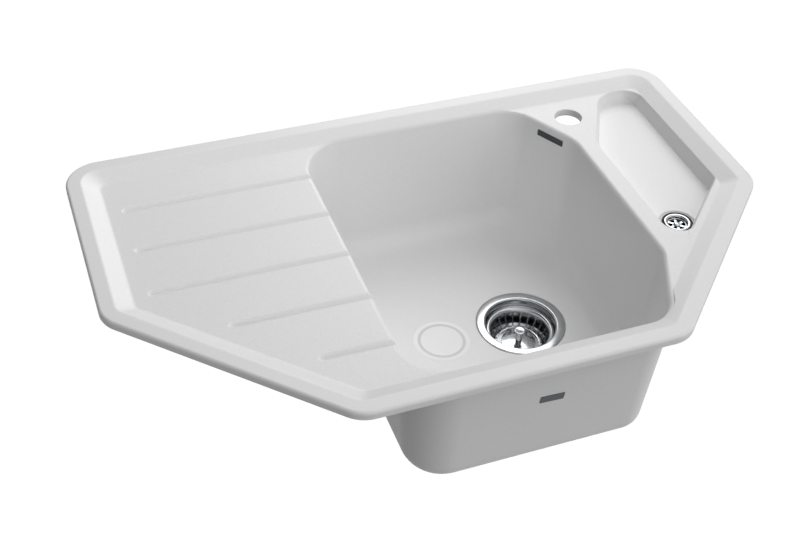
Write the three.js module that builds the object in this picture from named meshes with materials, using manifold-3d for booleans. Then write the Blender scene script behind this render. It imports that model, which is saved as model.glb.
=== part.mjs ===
// Inset corner kitchen sink in moulded composite: one bowl, a drainer, a small half-bowl with its own outlet,
// a tap hole, a basket strainer waste under the bowl and a grid waste under the half-bowl.
// Millimetres, +Z up. The origin is on the worktop plane, at the middle of the straight back edge:
// +X runs along that edge towards the half-bowl, +Y points to the wall behind the sink.
import * as THREE from "three";
import { mergeVertices } from "three/addons/utils/BufferGeometryUtils.js";
import Module from "manifold-3d";

const wasm = await Module();
wasm.setup();

// ---- Driving dimensions ----

// Overall plan of the rim: a rectangle whose two front corners are cut at 45 degrees
const SINK_LENGTH = 790;
const SINK_DEPTH = 490;
const CORNER_CUT = 213.5;
const BACK_CORNER_RADIUS = 42;
const CUT_CORNER_RADIUS = 38;
const INNER_CORNER_RADIUS = 12; // least radius on the rim's inner lines

// Section of the rim, from its outer edge inwards
const RIM_HEIGHT = 10; // top of the rim above the worktop
const RIM_WIDTH = 18; // from the outer edge to the top of the inner slope
const RIM_EDGE_RADIUS = 3.5;
const UNDER_EDGE = 0.6; // chamfer at the lower outer edge
const SLOPE_WIDTH = 20;
const SLOPE_BLEND = 2;
const SEAT_WIDTH = 24; // flat that rests on the worktop
const DECK_HEIGHT = 0.5; // drainer and tap ledge above the worktop
const DECK_THICKNESS = 9.5;
const WALL = 9;

// Main bowl
const BOWL_LEFT = -111.5;
const BOWL_RIGHT = 226.5;
const BOWL_BACK = -36; // from the back edge of the rim
const BOWL_FRONT = -452;
const BOWL_SLANT_X = 181; // where the slanting front side meets the line of the front wall
const BOWL_SLANT_Y = -353; // and where it meets the line of the right wall
const BOWL_FLOOR = -174; // at the waste
const FLOOR_FALL = 3;
const WALL_DRAFT = 9; // how far the walls lean in from top to bottom
const FLOOR_FILLET = 30;
const LIP_RADIUS = 6;

// Drainer lines
const LINE_PITCH = 75;
const LINE_COUNT = 5;
const FIRST_LINE_Y = -96;
const LINE_START_X = -340.5;
const LINE_CORNER_GAP = 52; // from the rim's slope at the cut corner to the end of a line
const GROOVE_WIDTH = 14;
const GROOVE_DEPTH = 1.3;
const BEAD_WIDTH = 5;
const BEAD_HEIGHT = 1.2;
const BEAD_SHIFT = 3; // the bead starts near the groove's back edge and ends in its middle

// Tap hole, and the ledge that carries it between the two bowls
const TAP_X = 242;
const TAP_Y = -73.5;
const TAP_HOLE_RADIUS = 17.5;
const TAP_LEDGE = 37.5; // from the tap hole's centre to the bowls on either side
const TAP_LEDGE_ANGLE = 62; // direction of the two slanting sides, in degrees from the back edge
const DIVIDER_WIDTH = 25.5;

// Half-bowl
const TRAY_DEPTH = 17;
const TRAY_FALL = 3;
const TRAY_DRAFT = 4;
const TRAY_FILLET = 2;
const TRAY_LIP_RADIUS = 2;
const TRAY_DRAIN_INSET = 72.5; // from its right side to the drain's centre
const TRAY_DRAIN_Y = -290;
const TRAY_CUT_OFFSET = 22; // from the drain's centre to the side that runs along the cut corner
const TRAY_END_OFFSET = 36; // from the drain's centre to the end of the half-bowl

// Basket strainer waste
const CLEARANCE = 0.3;
const WASTE_X = 114.5;
const WASTE_Y = -247;
const SHEET = 1; // stainless sheet
const GASKET = 1;
const BASKET_TOP_RADIUS = 38;
const BASKET_LIP = 4.5;
const BASKET_RIM_RADIUS = BASKET_TOP_RADIUS + BASKET_LIP;
const BASKET_PLAY = 1.5; // between the basket and the cup
const CUP_RADIUS = BASKET_RIM_RADIUS + BASKET_PLAY; // inside the upper part of the steel cup
const CUP_LEDGE_DEPTH = 13; // ledge that carries the basket, below the flange
const LOWER_CUP_RADIUS = BASKET_TOP_RADIUS + BASKET_PLAY;
const FLANGE_WIDTH = 12.5;
const FLANGE_RADIUS = CUP_RADIUS + FLANGE_WIDTH;
const FLANGE_PLAY = 1.5; // between the flange and the rim of its seat
const FLANGE_SEAT_RADIUS = FLANGE_RADIUS + FLANGE_PLAY;
const FLANGE_SEAT_DEPTH = 1.8;
const HOLE_PLAY = 1; // between the cup's outside and the hole in the basin
const WASTE_HOLE_RADIUS = CUP_RADIUS + SHEET + HOLE_PLAY;
const LOWER_CUP_DEPTH = 39.5;
const THROAT_RADIUS = 24;
const THROAT_DROP = 8;
const CUP_PORTS = 6;
const BODY_WALL = 3;
const BODY_DEPTH = 56; // from its top face down to the start of the outlet
const BODY_STRAIGHT = 36; // depth of its straight wall
const BODY_SHOULDER = 4; // bevel below that wall
const OUTLET_RADIUS = 24; // outside, one and a half inch pipe thread
const OUTLET_LENGTH = 36;
const STUB_RADIUS = 14; // threaded stub for the half-bowl's hose
const STUB_LENGTH = 11;
const STUB_DROP = 22; // from the body's top face to the stub's axis
const TAIL_RADIUS = 9.5; // hose tails, outside
const TAIL_BORE = 7;
const TAIL_LENGTH = 30;
const TAIL_FLANGE = 2.5;
const NUT_RADIUS = 19.5; // across the corners
const NUT_LENGTH = 14;
const BOLT_RADIUS = 4;
const BOLT_HEAD_RADIUS = 8;
const BOLT_HEAD_HEIGHT = 4;
const BOLT_WASHER_RADIUS = 9.5;
const HUB_RADIUS = 8.5;
const INSERT_RADIUS = 5.5;
const INSERT_LENGTH = 11;
const WASHER = 2.4;

// Basket
const BASKET_FLOOR_RADIUS = 29;
const BASKET_DEPTH = 21.5;
const BASKET_SLOTS = 21;
const SLOT_WIDTH = 7.2;
const DISH_RADIUS = 22;
const DISH_HEIGHT = 3;
const STEM_RADIUS = 3;
const KNOB_RADIUS = 7;
const KNOB_HEIGHT = 5;
const STEM_HEIGHT = 16.5; // from the dish to the top of the knob
const STEM_RIDGES = 4;
const RIDGE_PITCH = 2.4;
const SEAL_RADIUS = 32;
const CLIP_RADIUS = 7;

// Grid waste of the half-bowl
const GRID_RADIUS = 16; // outside of the bright ring
const GRID_SEAL_RADIUS = 18.7;
const GRID_SEAT_RADIUS = 22.5;
const GRID_SEAT_DEPTH = 1.6;
const GRID_HOLE_RADIUS = 15;
const GRID_CUP_RADIUS = 12.5;
const GRID_DEPTH = 4;
const GRID_SPOKES = 6;
const SPOKE_WIDTH = 2.4;
const GRID_BOSS_RADIUS = 5;
const TRAY_BODY_RADIUS = 21;
const TRAY_BODY_DEPTH = 26;
const TRAY_INSERT_RADIUS = 4;
const TRAY_INSERT_LENGTH = 8;
const TRAY_HUB_RADIUS = 6.5;
const SCREW_RADIUS = 2.5;
const SCREW_HEAD_RADIUS = 4.4;

// Fineness
const CORNER_STEPS = 5;
const FILLET_STEPS = 4;
const SMALL_FILLET_STEPS = 2;
const ROUND = 32;
const SMALL_ROUND = 16;

// ---- Materials ----
const finish = (color, roughness, metalness = 0) =>
  new THREE.MeshStandardMaterial({ color, roughness, metalness });
const composite = finish(0xe9e9e7, 0.55);
const stainless = finish(0xc9cbcc, 0.22, 1);
const chrome = finish(0xdadcde, 0.08, 1);
const blackRubber = finish(0x1c1c1d, 0.8);
const greyPlastic = finish(0x3b3d40, 0.5);
const brass = finish(0xb99a55, 0.35, 1);

// ---- Solids ----

// A closed geometry as a solid, with its shared vertices merged and its collapsed faces dropped.
function solid(geometry) {
  const bare = geometry.index ? geometry.toNonIndexed() : geometry.clone();
  bare.deleteAttribute("normal");
  bare.deleteAttribute("uv");
  const merged = mergeVertices(bare, 1e-4);
  const corners = merged.index.array;
  const triVerts = [];
  for (let i = 0; i < corners.length; i += 3) {
    const [a, b, c] = [corners[i], corners[i + 1], corners[i + 2]];
    if (a !== b && b !== c && c !== a) triVerts.push(a, b, c);
  }
  const vertProperties = merged.attributes.position.array;
  return new wasm.Manifold(new wasm.Mesh({ numProp: 3, vertProperties, triVerts: Uint32Array.from(triVerts) }));
}

// A solid as a geometry that a mesh can carry.
function shape(body) {
  const { numProp, vertProperties, triVerts } = body.getMesh();
  const points = new Float32Array((vertProperties.length / numProp) * 3);
  for (let i = 0; i < points.length / 3; i++) {
    points.set(vertProperties.subarray(i * numProp, i * numProp + 3), i * 3);
  }
  const geometry = new THREE.BufferGeometry();
  geometry.setAttribute("position", new THREE.BufferAttribute(points, 3));
  geometry.setIndex(new THREE.BufferAttribute(triVerts, 1));
  geometry.computeVertexNormals();
  return geometry;
}

const joined = (first, ...rest) => rest.reduce((body, piece) => body.add(piece), first);
const less = (first, ...rest) => rest.reduce((body, piece) => body.subtract(piece), first);

// Rings of points with one count, from the bottom up and counter-clockwise from above, skinned and capped.
function loft(rings) {
  const count = rings[0].length;
  const points = rings.flat();
  const middle = (ring) => ring.reduce((sum, p) => sum.add(p), new THREE.Vector3()).divideScalar(count);
  const faces = [];
  for (let k = 0; k + 1 < rings.length; k++) {
    for (let i = 0; i < count; i++) {
      const j = (i + 1) % count;
      const [a, b, c, d] = [k * count + i, k * count + j, (k + 1) * count + j, (k + 1) * count + i];
      faces.push(a, b, c, a, c, d);
    }
  }
  const last = (rings.length - 1) * count;
  const bottom = points.push(middle(rings[0])) - 1;
  const top = points.push(middle(rings.at(-1))) - 1;
  for (let i = 0; i < count; i++) {
    const j = (i + 1) % count;
    faces.push(bottom, j, i, top, last + i, last + j);
  }
  const geometry = new THREE.BufferGeometry().setFromPoints(points);
  geometry.setIndex(faces);
  return solid(geometry);
}

// A turned piece: a closed profile of [radius, height] pairs, round the Z axis through (x, y).
function turned(profile, steps = ROUND, x = 0, y = 0) {
  const area = profile.reduce((sum, [r, z], i) => {
    const [nextR, nextZ] = profile[(i + 1) % profile.length];
    return sum + r * nextZ - nextR * z;
  }, 0);
  const ordered = area > 0 ? profile : [...profile].reverse();
  const points = [...ordered, ordered[0]].map(([r, z]) => new THREE.Vector2(Math.max(r, 0), z));
  const geometry = new THREE.LatheGeometry(points, steps);
  geometry.rotateX(Math.PI / 2);
  geometry.translate(x, y, 0);
  return solid(geometry);
}

// A plain cylinder between two heights.
const disc = (radius, low, high, steps = ROUND, x = 0, y = 0) =>
  turned([[0, low], [radius, low], [radius, high], [0, high]], steps, x, y);

// A ring between two radii and two heights.
const washer = (inner, outer, low, high, steps = ROUND, x = 0, y = 0) =>
  turned([[inner, low], [outer, low], [outer, high], [inner, high]], steps, x, y);

// A box by its two corners.
function block(x0, x1, y0, y1, z0, z1) {
  const geometry = new THREE.BoxGeometry(x1 - x0, y1 - y0, z1 - z0);
  geometry.translate((x0 + x1) / 2, (y0 + y1) / 2, (z0 + z1) / 2);
  return solid(geometry);
}

// ---- Plan outlines ----

// Each corner of a convex outline, counter-clockwise, with its radius, moved in by a distance for each edge.
// Edge i runs from corner i to corner i + 1.
function inset(outline, distance) {
  const { corners, radii } = outline;
  const count = corners.length;
  const distances = Array.isArray(distance) ? distance : Array(count).fill(distance);
  const edges = corners.map(([x, y], i) => {
    const [nextX, nextY] = corners[(i + 1) % count];
    const length = Math.hypot(nextX - x, nextY - y);
    const [dx, dy] = [(nextX - x) / length, (nextY - y) / length];
    return { x: x - dy * distances[i], y: y + dx * distances[i], dx, dy };
  });
  const moved = edges.map((edge, i) => {
    const before = edges[(i + count - 1) % count];
    const cross = before.dx * edge.dy - before.dy * edge.dx;
    const along = ((edge.x - before.x) * edge.dy - (edge.y - before.y) * edge.dx) / cross;
    return [before.x + before.dx * along, before.y + before.dy * along];
  });
  const shrunk = radii.map((radius, i) => {
    const change = Math.max(distances[i], distances[(i + count - 1) % count]);
    return Math.max(radius - change, 1);
  });
  return { corners: moved, radii: shrunk };
}

// The outline's points, each corner an arc of the same number of steps. The height is one number, a function of
// the place on the plan, or a list with one number for each edge.
function section(outline, height, steps = CORNER_STEPS) {
  const { corners, radii } = outline;
  const heightAt = (x, y, i, share) => {
    if (typeof height === "function") return height(x, y);
    if (!Array.isArray(height)) return height;
    return THREE.MathUtils.lerp(height.at(i - 1), height[i], share);
  };
  return corners.flatMap((corner, i) => {
    const here = new THREE.Vector2(...corner);
    const before = new THREE.Vector2(...corners[(i + corners.length - 1) % corners.length]);
    const after = new THREE.Vector2(...corners[(i + 1) % corners.length]);
    const into = here.clone().sub(before).normalize();
    const out = after.clone().sub(here).normalize();
    const turn = Math.atan2(into.cross(out), into.dot(out));
    const tangent = radii[i] * Math.tan(turn / 2);
    const start = here.clone().addScaledVector(into, -tangent);
    const centre = start.clone().add(new THREE.Vector2(-into.y, into.x).multiplyScalar(radii[i]));
    return Array.from({ length: steps + 1 }, (_, k) => {
      const point = start.clone().rotateAround(centre, (turn * k) / steps);
      return new THREE.Vector3(point.x, point.y, heightAt(point.x, point.y, i, k / steps));
    });
  });
}

// A ring moved onto a circle, each point straight towards the circle's centre.
const ontoCircle = (ring, x, y, radius, height) =>
  ring.map((point) => {
    const angle = Math.atan2(point.y - y, point.x - x);
    return new THREE.Vector3(x + radius * Math.cos(angle), y + radius * Math.sin(angle), height);
  });

// Angles from 0 to a quarter turn.
const quarter = (steps) => Array.from({ length: steps + 1 }, (_, k) => (k / steps) * (Math.PI / 2));

const halfLength = SINK_LENGTH / 2;
const rimOutline = {
  corners: [
    [-halfLength, 0],
    [-halfLength, -SINK_DEPTH + CORNER_CUT],
    [-halfLength + CORNER_CUT, -SINK_DEPTH],
    [halfLength - CORNER_CUT, -SINK_DEPTH],
    [halfLength, -SINK_DEPTH + CORNER_CUT],
    [halfLength, 0],
  ],
  radii: [
    BACK_CORNER_RADIUS,
    CUT_CORNER_RADIUS,
    CUT_CORNER_RADIUS,
    CUT_CORNER_RADIUS,
    CUT_CORNER_RADIUS,
    BACK_CORNER_RADIUS,
  ],
};

// The rim's inner lines run parallel to its outer edge, with their corners never sharper than the least radius.
function rimLine(distance) {
  const line = inset(rimOutline, distance);
  line.radii = line.radii.map((radius) => Math.max(radius, INNER_CORNER_RADIUS));
  return line;
}

// Where a slanting side of the tap ledge crosses a line of the plan; side is -1 for the bowl, 1 for the half-bowl.
function ledgeX(side, y) {
  const angle = THREE.MathUtils.degToRad(TAP_LEDGE_ANGLE);
  return TAP_X + side * (TAP_LEDGE / Math.sin(angle) + (y - TAP_Y) / Math.tan(angle));
}
function ledgeY(side, x) {
  const angle = THREE.MathUtils.degToRad(TAP_LEDGE_ANGLE);
  return TAP_Y + ((x - TAP_X) * side - TAP_LEDGE / Math.sin(angle)) * Math.tan(angle);
}

const bowlOutline = {
  corners: [
    [BOWL_LEFT, BOWL_BACK],
    [BOWL_LEFT, BOWL_FRONT],
    [BOWL_SLANT_X, BOWL_FRONT],
    [BOWL_RIGHT, BOWL_SLANT_Y],
    [BOWL_RIGHT, ledgeY(-1, BOWL_RIGHT)],
    [ledgeX(-1, BOWL_BACK), BOWL_BACK],
  ],
  radii: [55, 46, 42, 36, 55, 42],
};

// The half-bowl fills the right end of the deck: two of its sides lie on the foot of the rim's slope,
// and one runs along the cut corner, where x - y is constant.
const slopeFoot = RIM_WIDTH + SLOPE_WIDTH;
const trayLeft = BOWL_RIGHT + DIVIDER_WIDTH;
const trayRight = halfLength - slopeFoot;
const drainX = trayRight - TRAY_DRAIN_INSET;
const trayCutSum = drainX - TRAY_DRAIN_Y + TRAY_CUT_OFFSET * Math.SQRT2;
const trayEnd = TRAY_DRAIN_Y - TRAY_END_OFFSET;
const trayOutline = {
  corners: [
    [ledgeX(1, -slopeFoot), -slopeFoot],
    [trayLeft, ledgeY(1, trayLeft)],
    [trayLeft, trayEnd],
    [trayCutSum + trayEnd, trayEnd],
    [trayRight, trayRight - trayCutSum],
    [trayRight, -slopeFoot],
  ],
  radii: [37, 50, 24, 22, 12, 22],
  floorRadii: [37, 50, 24, 22, 9, 13],
};

// ---- Basin ----

const slopeRise = (RIM_HEIGHT - DECK_HEIGHT) / SLOPE_WIDTH;
const deckUnderside = DECK_HEIGHT - DECK_THICKNESS;
const bowlBottom = BOWL_FLOOR - WALL;
const trayFloor = DECK_HEIGHT - TRAY_DEPTH;
const trayBottom = trayFloor - TRAY_FALL - WALL;

// The rim and the plate of the deck as one slab, still filled up to the rim's top.
function rimSlab() {
  const rings = [
    section(rimLine(SEAT_WIDTH + 1), deckUnderside),
    section(rimLine(SEAT_WIDTH), 0),
    section(rimLine(UNDER_EDGE), 0),
    section(rimLine(0), UNDER_EDGE),
  ];
  for (const angle of quarter(FILLET_STEPS)) {
    const inwards = RIM_EDGE_RADIUS * (1 - Math.cos(angle));
    rings.push(section(rimLine(inwards), RIM_HEIGHT - RIM_EDGE_RADIUS * (1 - Math.sin(angle))));
  }
  return loft(rings);
}

// The space inside the rim: the level deck and the slope up to the rim's top, blended at both ends.
function deckRecess() {
  const bend = SLOPE_BLEND * slopeRise;
  const profile = [
    [slopeFoot + SLOPE_BLEND, DECK_HEIGHT],
    [slopeFoot, DECK_HEIGHT + bend * 0.25],
    [slopeFoot - SLOPE_BLEND, DECK_HEIGHT + bend],
    [RIM_WIDTH + SLOPE_BLEND, RIM_HEIGHT - bend],
    [RIM_WIDTH, RIM_HEIGHT - bend * 0.25],
    [RIM_WIDTH - SLOPE_BLEND, RIM_HEIGHT],
    [RIM_WIDTH - SLOPE_BLEND, RIM_HEIGHT + 1],
  ];
  return loft(profile.map(([inwards, height]) => section(rimLine(inwards), height)));
}

// Rings of a bowl's floor fillet, from the edge of its floor up to the foot of its wall; the floor may slope.
function filletRings(outline, floorAt, draft, fillet, steps = FILLET_STEPS) {
  const foot = { corners: outline.corners, radii: outline.floorRadii ?? outline.radii };
  return quarter(steps).map((angle) => {
    const inwards = draft + fillet * (1 - Math.sin(angle));
    const rise = fillet * (1 - Math.cos(angle));
    return section(inset(foot, inwards), (x, y) => floorAt(x, y) + rise);
  });
}

// Rings of the rounded lip above a bowl's wall, then straight up out of the rim. Each edge ends on the level deck
// (null) or on the rim's slope, at a distance up from its foot, and the round is tangent to whichever it meets.
function lipRings(outline, radius, climbs, steps = FILLET_STEPS) {
  const edges = climbs.map((climb) => {
    if (climb === null) return { turn: Math.PI / 2, top: DECK_HEIGHT, rise: 0 };
    return { turn: Math.PI / 2 - Math.atan(slopeRise), top: DECK_HEIGHT + slopeRise * climb, rise: slopeRise };
  });
  const widthAt = ({ turn }, share) => radius * (1 - Math.cos(turn * share));
  const rings = Array.from({ length: steps + 1 }, (_, k) => {
    const share = k / steps;
    const heights = edges.map((edge) => {
      const start = edge.top - radius * Math.sin(edge.turn) + edge.rise * widthAt(edge, 1);
      return start + radius * Math.sin(edge.turn * share);
    });
    return section(inset(outline, edges.map((edge) => -widthAt(edge, share))), heights);
  });
  return [...rings, section(inset(outline, edges.map((edge) => -widthAt(edge, 1))), RIM_HEIGHT + 1)];
}

// The bowl's floor falls from its edge to the waste. Its front wall stands at the foot of the rim's slope,
// and its back wall a little way up it.
function bowlCavity() {
  const rings = filletRings(bowlOutline, () => BOWL_FLOOR + FLOOR_FALL, WALL_DRAFT, FLOOR_FILLET);
  const drain = ontoCircle(rings[0], WASTE_X, WASTE_Y, FLANGE_SEAT_RADIUS - 2, BOWL_FLOOR);
  const frontClimb = slopeFoot - (SINK_DEPTH + BOWL_FRONT);
  const climbs = [null, frontClimb, null, null, null, slopeFoot + BOWL_BACK];
  return loft([drain, ...rings, ...lipRings(bowlOutline, LIP_RADIUS, climbs)]);
}

// The outside of a bowl, up to the middle of the deck's thickness.
function bowlShell(outline, bottom, draft, fillet, steps) {
  const outer = { ...inset(outline, -WALL), floorRadii: outline.floorRadii?.map((radius) => radius + WALL) };
  const rings = filletRings(outer, () => bottom, draft, fillet, steps);
  return loft([...rings, section(outer, DECK_HEIGHT - DECK_THICKNESS / 2)]);
}

// The half-bowl's floor falls from its back to its outlet.
const trayFloorAt = (x, y) => {
  const fall = (y - BOWL_BACK) / (TRAY_DRAIN_Y - BOWL_BACK);
  return trayFloor - TRAY_FALL * Math.min(Math.max(fall, 0), 1);
};

function trayCavity() {
  const rings = filletRings(trayOutline, trayFloorAt, TRAY_DRAFT, TRAY_FILLET, SMALL_FILLET_STEPS);
  const climbs = [null, null, null, null, 0, 0];
  return loft([...rings, ...lipRings(trayOutline, TRAY_LIP_RADIUS, climbs, SMALL_FILLET_STEPS)]);
}

// One drainer line from its rounded start to the bowl: a section that is part of a circle, swept along X.
function drainerRun(startX, endX, width, depth, centreAt, base, upwards) {
  const radius = (width ** 2 / 4 + depth ** 2) / (2 * depth);
  const half = Math.asin(width / 2 / radius);
  const steps = 6;
  const nose = width / 2;
  const shares = [0.04, 0.3, 0.65, 1];
  const stations = shares.map((share) => [startX + nose * share, Math.sqrt(1 - (1 - share) ** 2)]);
  stations.push([endX, 1]);
  const rings = stations.map(([x, scale]) => {
    const arc = Array.from({ length: steps + 1 }, (_, k) => {
      const angle = half * ((2 * k) / steps - 1);
      const drop = (radius * Math.cos(angle) - radius + depth) * scale;
      const y = centreAt(x) + radius * Math.sin(angle) * scale;
      return new THREE.Vector3(x, y, upwards ? base + drop : base - drop);
    });
    const edge = [arc.at(-1), arc[0]].map((p) => new THREE.Vector3(p.x, p.y, upwards ? base - 1 : base + 1));
    const ring = [...arc, ...edge];
    return upwards ? ring.reverse() : ring;
  });
  return loft(rings);
}

// Where each line lies, and where it starts: all on one line at the left, or short of the cut corner's slope.
const rimCutSum = halfLength + SINK_DEPTH - CORNER_CUT;
const drainerLines = Array.from({ length: LINE_COUNT }, (_, i) => {
  const y = FIRST_LINE_Y - LINE_PITCH * i;
  const slopeX = -rimCutSum - y + slopeFoot * Math.SQRT2;
  return { y, startX: Math.max(LINE_START_X, slopeX + LINE_CORNER_GAP) };
});

const drainerGroove = ({ y, startX }) =>
  drainerRun(startX, BOWL_LEFT, GROOVE_WIDTH, GROOVE_DEPTH, () => y, DECK_HEIGHT, false);

// The bead in the groove starts at its back side and drifts to its middle.
function drainerBead({ y, startX }) {
  const centreAt = (x) => y + BEAD_SHIFT * (1 - (x - startX) / (BOWL_LEFT - startX));
  return drainerRun(startX + 3, BOWL_LEFT, BEAD_WIDTH, BEAD_HEIGHT, centreAt, DECK_HEIGHT - GROOVE_DEPTH, true);
}

const trayDrainFloor = trayFloor - TRAY_FALL;
const flangeSeat = BOWL_FLOOR - FLANGE_SEAT_DEPTH;
const gridSeat = trayDrainFloor - GRID_SEAT_DEPTH;

function basin() {
  const bowls = [
    bowlShell(bowlOutline, bowlBottom, WALL_DRAFT, FLOOR_FILLET + WALL - 1),
    bowlShell(trayOutline, trayBottom, TRAY_DRAFT, TRAY_FILLET + 4, SMALL_FILLET_STEPS),
  ];
  const gridRecess = [
    [0, gridSeat],
    [GRID_SEAT_RADIUS - 2, gridSeat],
    [GRID_SEAT_RADIUS, trayDrainFloor],
    [GRID_SEAT_RADIUS, trayDrainFloor + 1],
    [0, trayDrainFloor + 1],
  ];
  const deck = less(joined(rimSlab(), ...bowls), deckRecess(), ...drainerLines.map(drainerGroove));
  return less(
    joined(deck, ...drainerLines.map(drainerBead)),
    bowlCavity(),
    trayCavity(),
    disc(TAP_HOLE_RADIUS, deckUnderside - 1, DECK_HEIGHT + 1, ROUND, TAP_X, TAP_Y),
    disc(FLANGE_SEAT_RADIUS, flangeSeat, BOWL_FLOOR + 1, ROUND, WASTE_X, WASTE_Y),
    disc(WASTE_HOLE_RADIUS, bowlBottom - 1, flangeSeat + 1, ROUND, WASTE_X, WASTE_Y),
    turned(gridRecess, ROUND, drainX, TRAY_DRAIN_Y),
    disc(GRID_HOLE_RADIUS, trayBottom - 1, gridSeat + 1, SMALL_ROUND, drainX, TRAY_DRAIN_Y),
  );
}

// ---- Basket strainer waste, built round its own axis ----

const gasketLow = flangeSeat + CLEARANCE;
const flangeUnder = gasketLow + GASKET + CLEARANCE;
const flangeTop = flangeUnder + SHEET;
const ledgeTop = flangeTop - CUP_LEDGE_DEPTH;
const cupFloor = flangeTop - LOWER_CUP_DEPTH;
const throatFloor = cupFloor - THROAT_DROP;

// Pressed steel cup: rolled flange, ledge for the basket, throat for its seal, ported floor for the bolt.
function wasteFlange() {
  const inside = [
    [0, throatFloor],
    [THROAT_RADIUS - 2, throatFloor],
    [THROAT_RADIUS, throatFloor + 2],
    [THROAT_RADIUS + 1, cupFloor],
    [LOWER_CUP_RADIUS - 3, cupFloor],
    [LOWER_CUP_RADIUS, cupFloor + 3],
    [LOWER_CUP_RADIUS, ledgeTop],
    [CUP_RADIUS - 1.5, ledgeTop],
    [CUP_RADIUS, ledgeTop + 1.5],
    [CUP_RADIUS + 0.4, flangeTop - 2],
    [CUP_RADIUS + 1, flangeTop - 0.5],
    [CUP_RADIUS + 2.4, flangeTop],
    [FLANGE_RADIUS - 4, flangeTop],
    [FLANGE_RADIUS - 1.2, flangeTop - 0.5],
    [FLANGE_RADIUS, flangeTop - 1.6],
  ];
  const outside = [
    [FLANGE_RADIUS - 1, flangeTop - 1.8],
    [FLANGE_RADIUS - 4, flangeUnder],
    [CUP_RADIUS + 3, flangeUnder],
    [CUP_RADIUS + 1.4, flangeUnder - 1.4],
    [CUP_RADIUS + SHEET, ledgeTop + 1],
    [CUP_RADIUS - 0.6, ledgeTop - SHEET],
    [LOWER_CUP_RADIUS + SHEET, ledgeTop - SHEET],
    [LOWER_CUP_RADIUS + SHEET, cupFloor + 2],
    [LOWER_CUP_RADIUS - 2.4, cupFloor - SHEET],
    [THROAT_RADIUS + 2, cupFloor - SHEET],
    [THROAT_RADIUS + 1, throatFloor + 1.4],
    [THROAT_RADIUS - 1.6, throatFloor - SHEET],
    [0, throatFloor - SHEET],
  ];
  const low = throatFloor - SHEET - 1;
  const high = throatFloor + 1;
  const portInner = BOLT_WASHER_RADIUS + 1;
  const portRadius = (THROAT_RADIUS - 3 - portInner) / 2;
  const ports = Array.from({ length: CUP_PORTS }, (_, i) => {
    const angle = ((i + 0.5) / CUP_PORTS) * 2 * Math.PI;
    const centre = portInner + portRadius;
    return disc(portRadius, low, high, 16, centre * Math.cos(angle), centre * Math.sin(angle));
  });
  return less(turned([...inside, ...outside]), disc(BOLT_RADIUS + CLEARANCE, low, high, SMALL_ROUND), ...ports);
}

const flangeGasket = () => washer(WASTE_HOLE_RADIUS + 1.4, FLANGE_RADIUS - 4, gasketLow, gasketLow + GASKET);

const washerTop = bowlBottom - CLEARANCE;
const bodyTop = washerTop - WASHER - CLEARANCE;
const bodyBottom = bodyTop - BODY_DEPTH;
const bodyInner = WASTE_HOLE_RADIUS + 1;
const bodyOuter = bodyInner + BODY_WALL;

const bodyWasher = () => washer(WASTE_HOLE_RADIUS + 0.5, bodyOuter + 5, washerTop - WASHER, washerTop);

const hubTop = throatFloor - SHEET - CLEARANCE;
const outletInner = OUTLET_RADIUS - BODY_WALL;
const stubZ = bodyTop - STUB_DROP;
const stubEnd = bodyOuter + STUB_LENGTH;
const inletAngle = THREE.MathUtils.radToDeg(Math.atan2(TRAY_DRAIN_Y - WASTE_Y, drainX - WASTE_X));

// A turned piece laid over, so that its profile's heights run along +X at a height above the worktop.
const laid = (profile, height, steps = SMALL_ROUND) =>
  turned(profile, steps).rotate([0, 90, 0]).translate([0, 0, height]);

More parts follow.
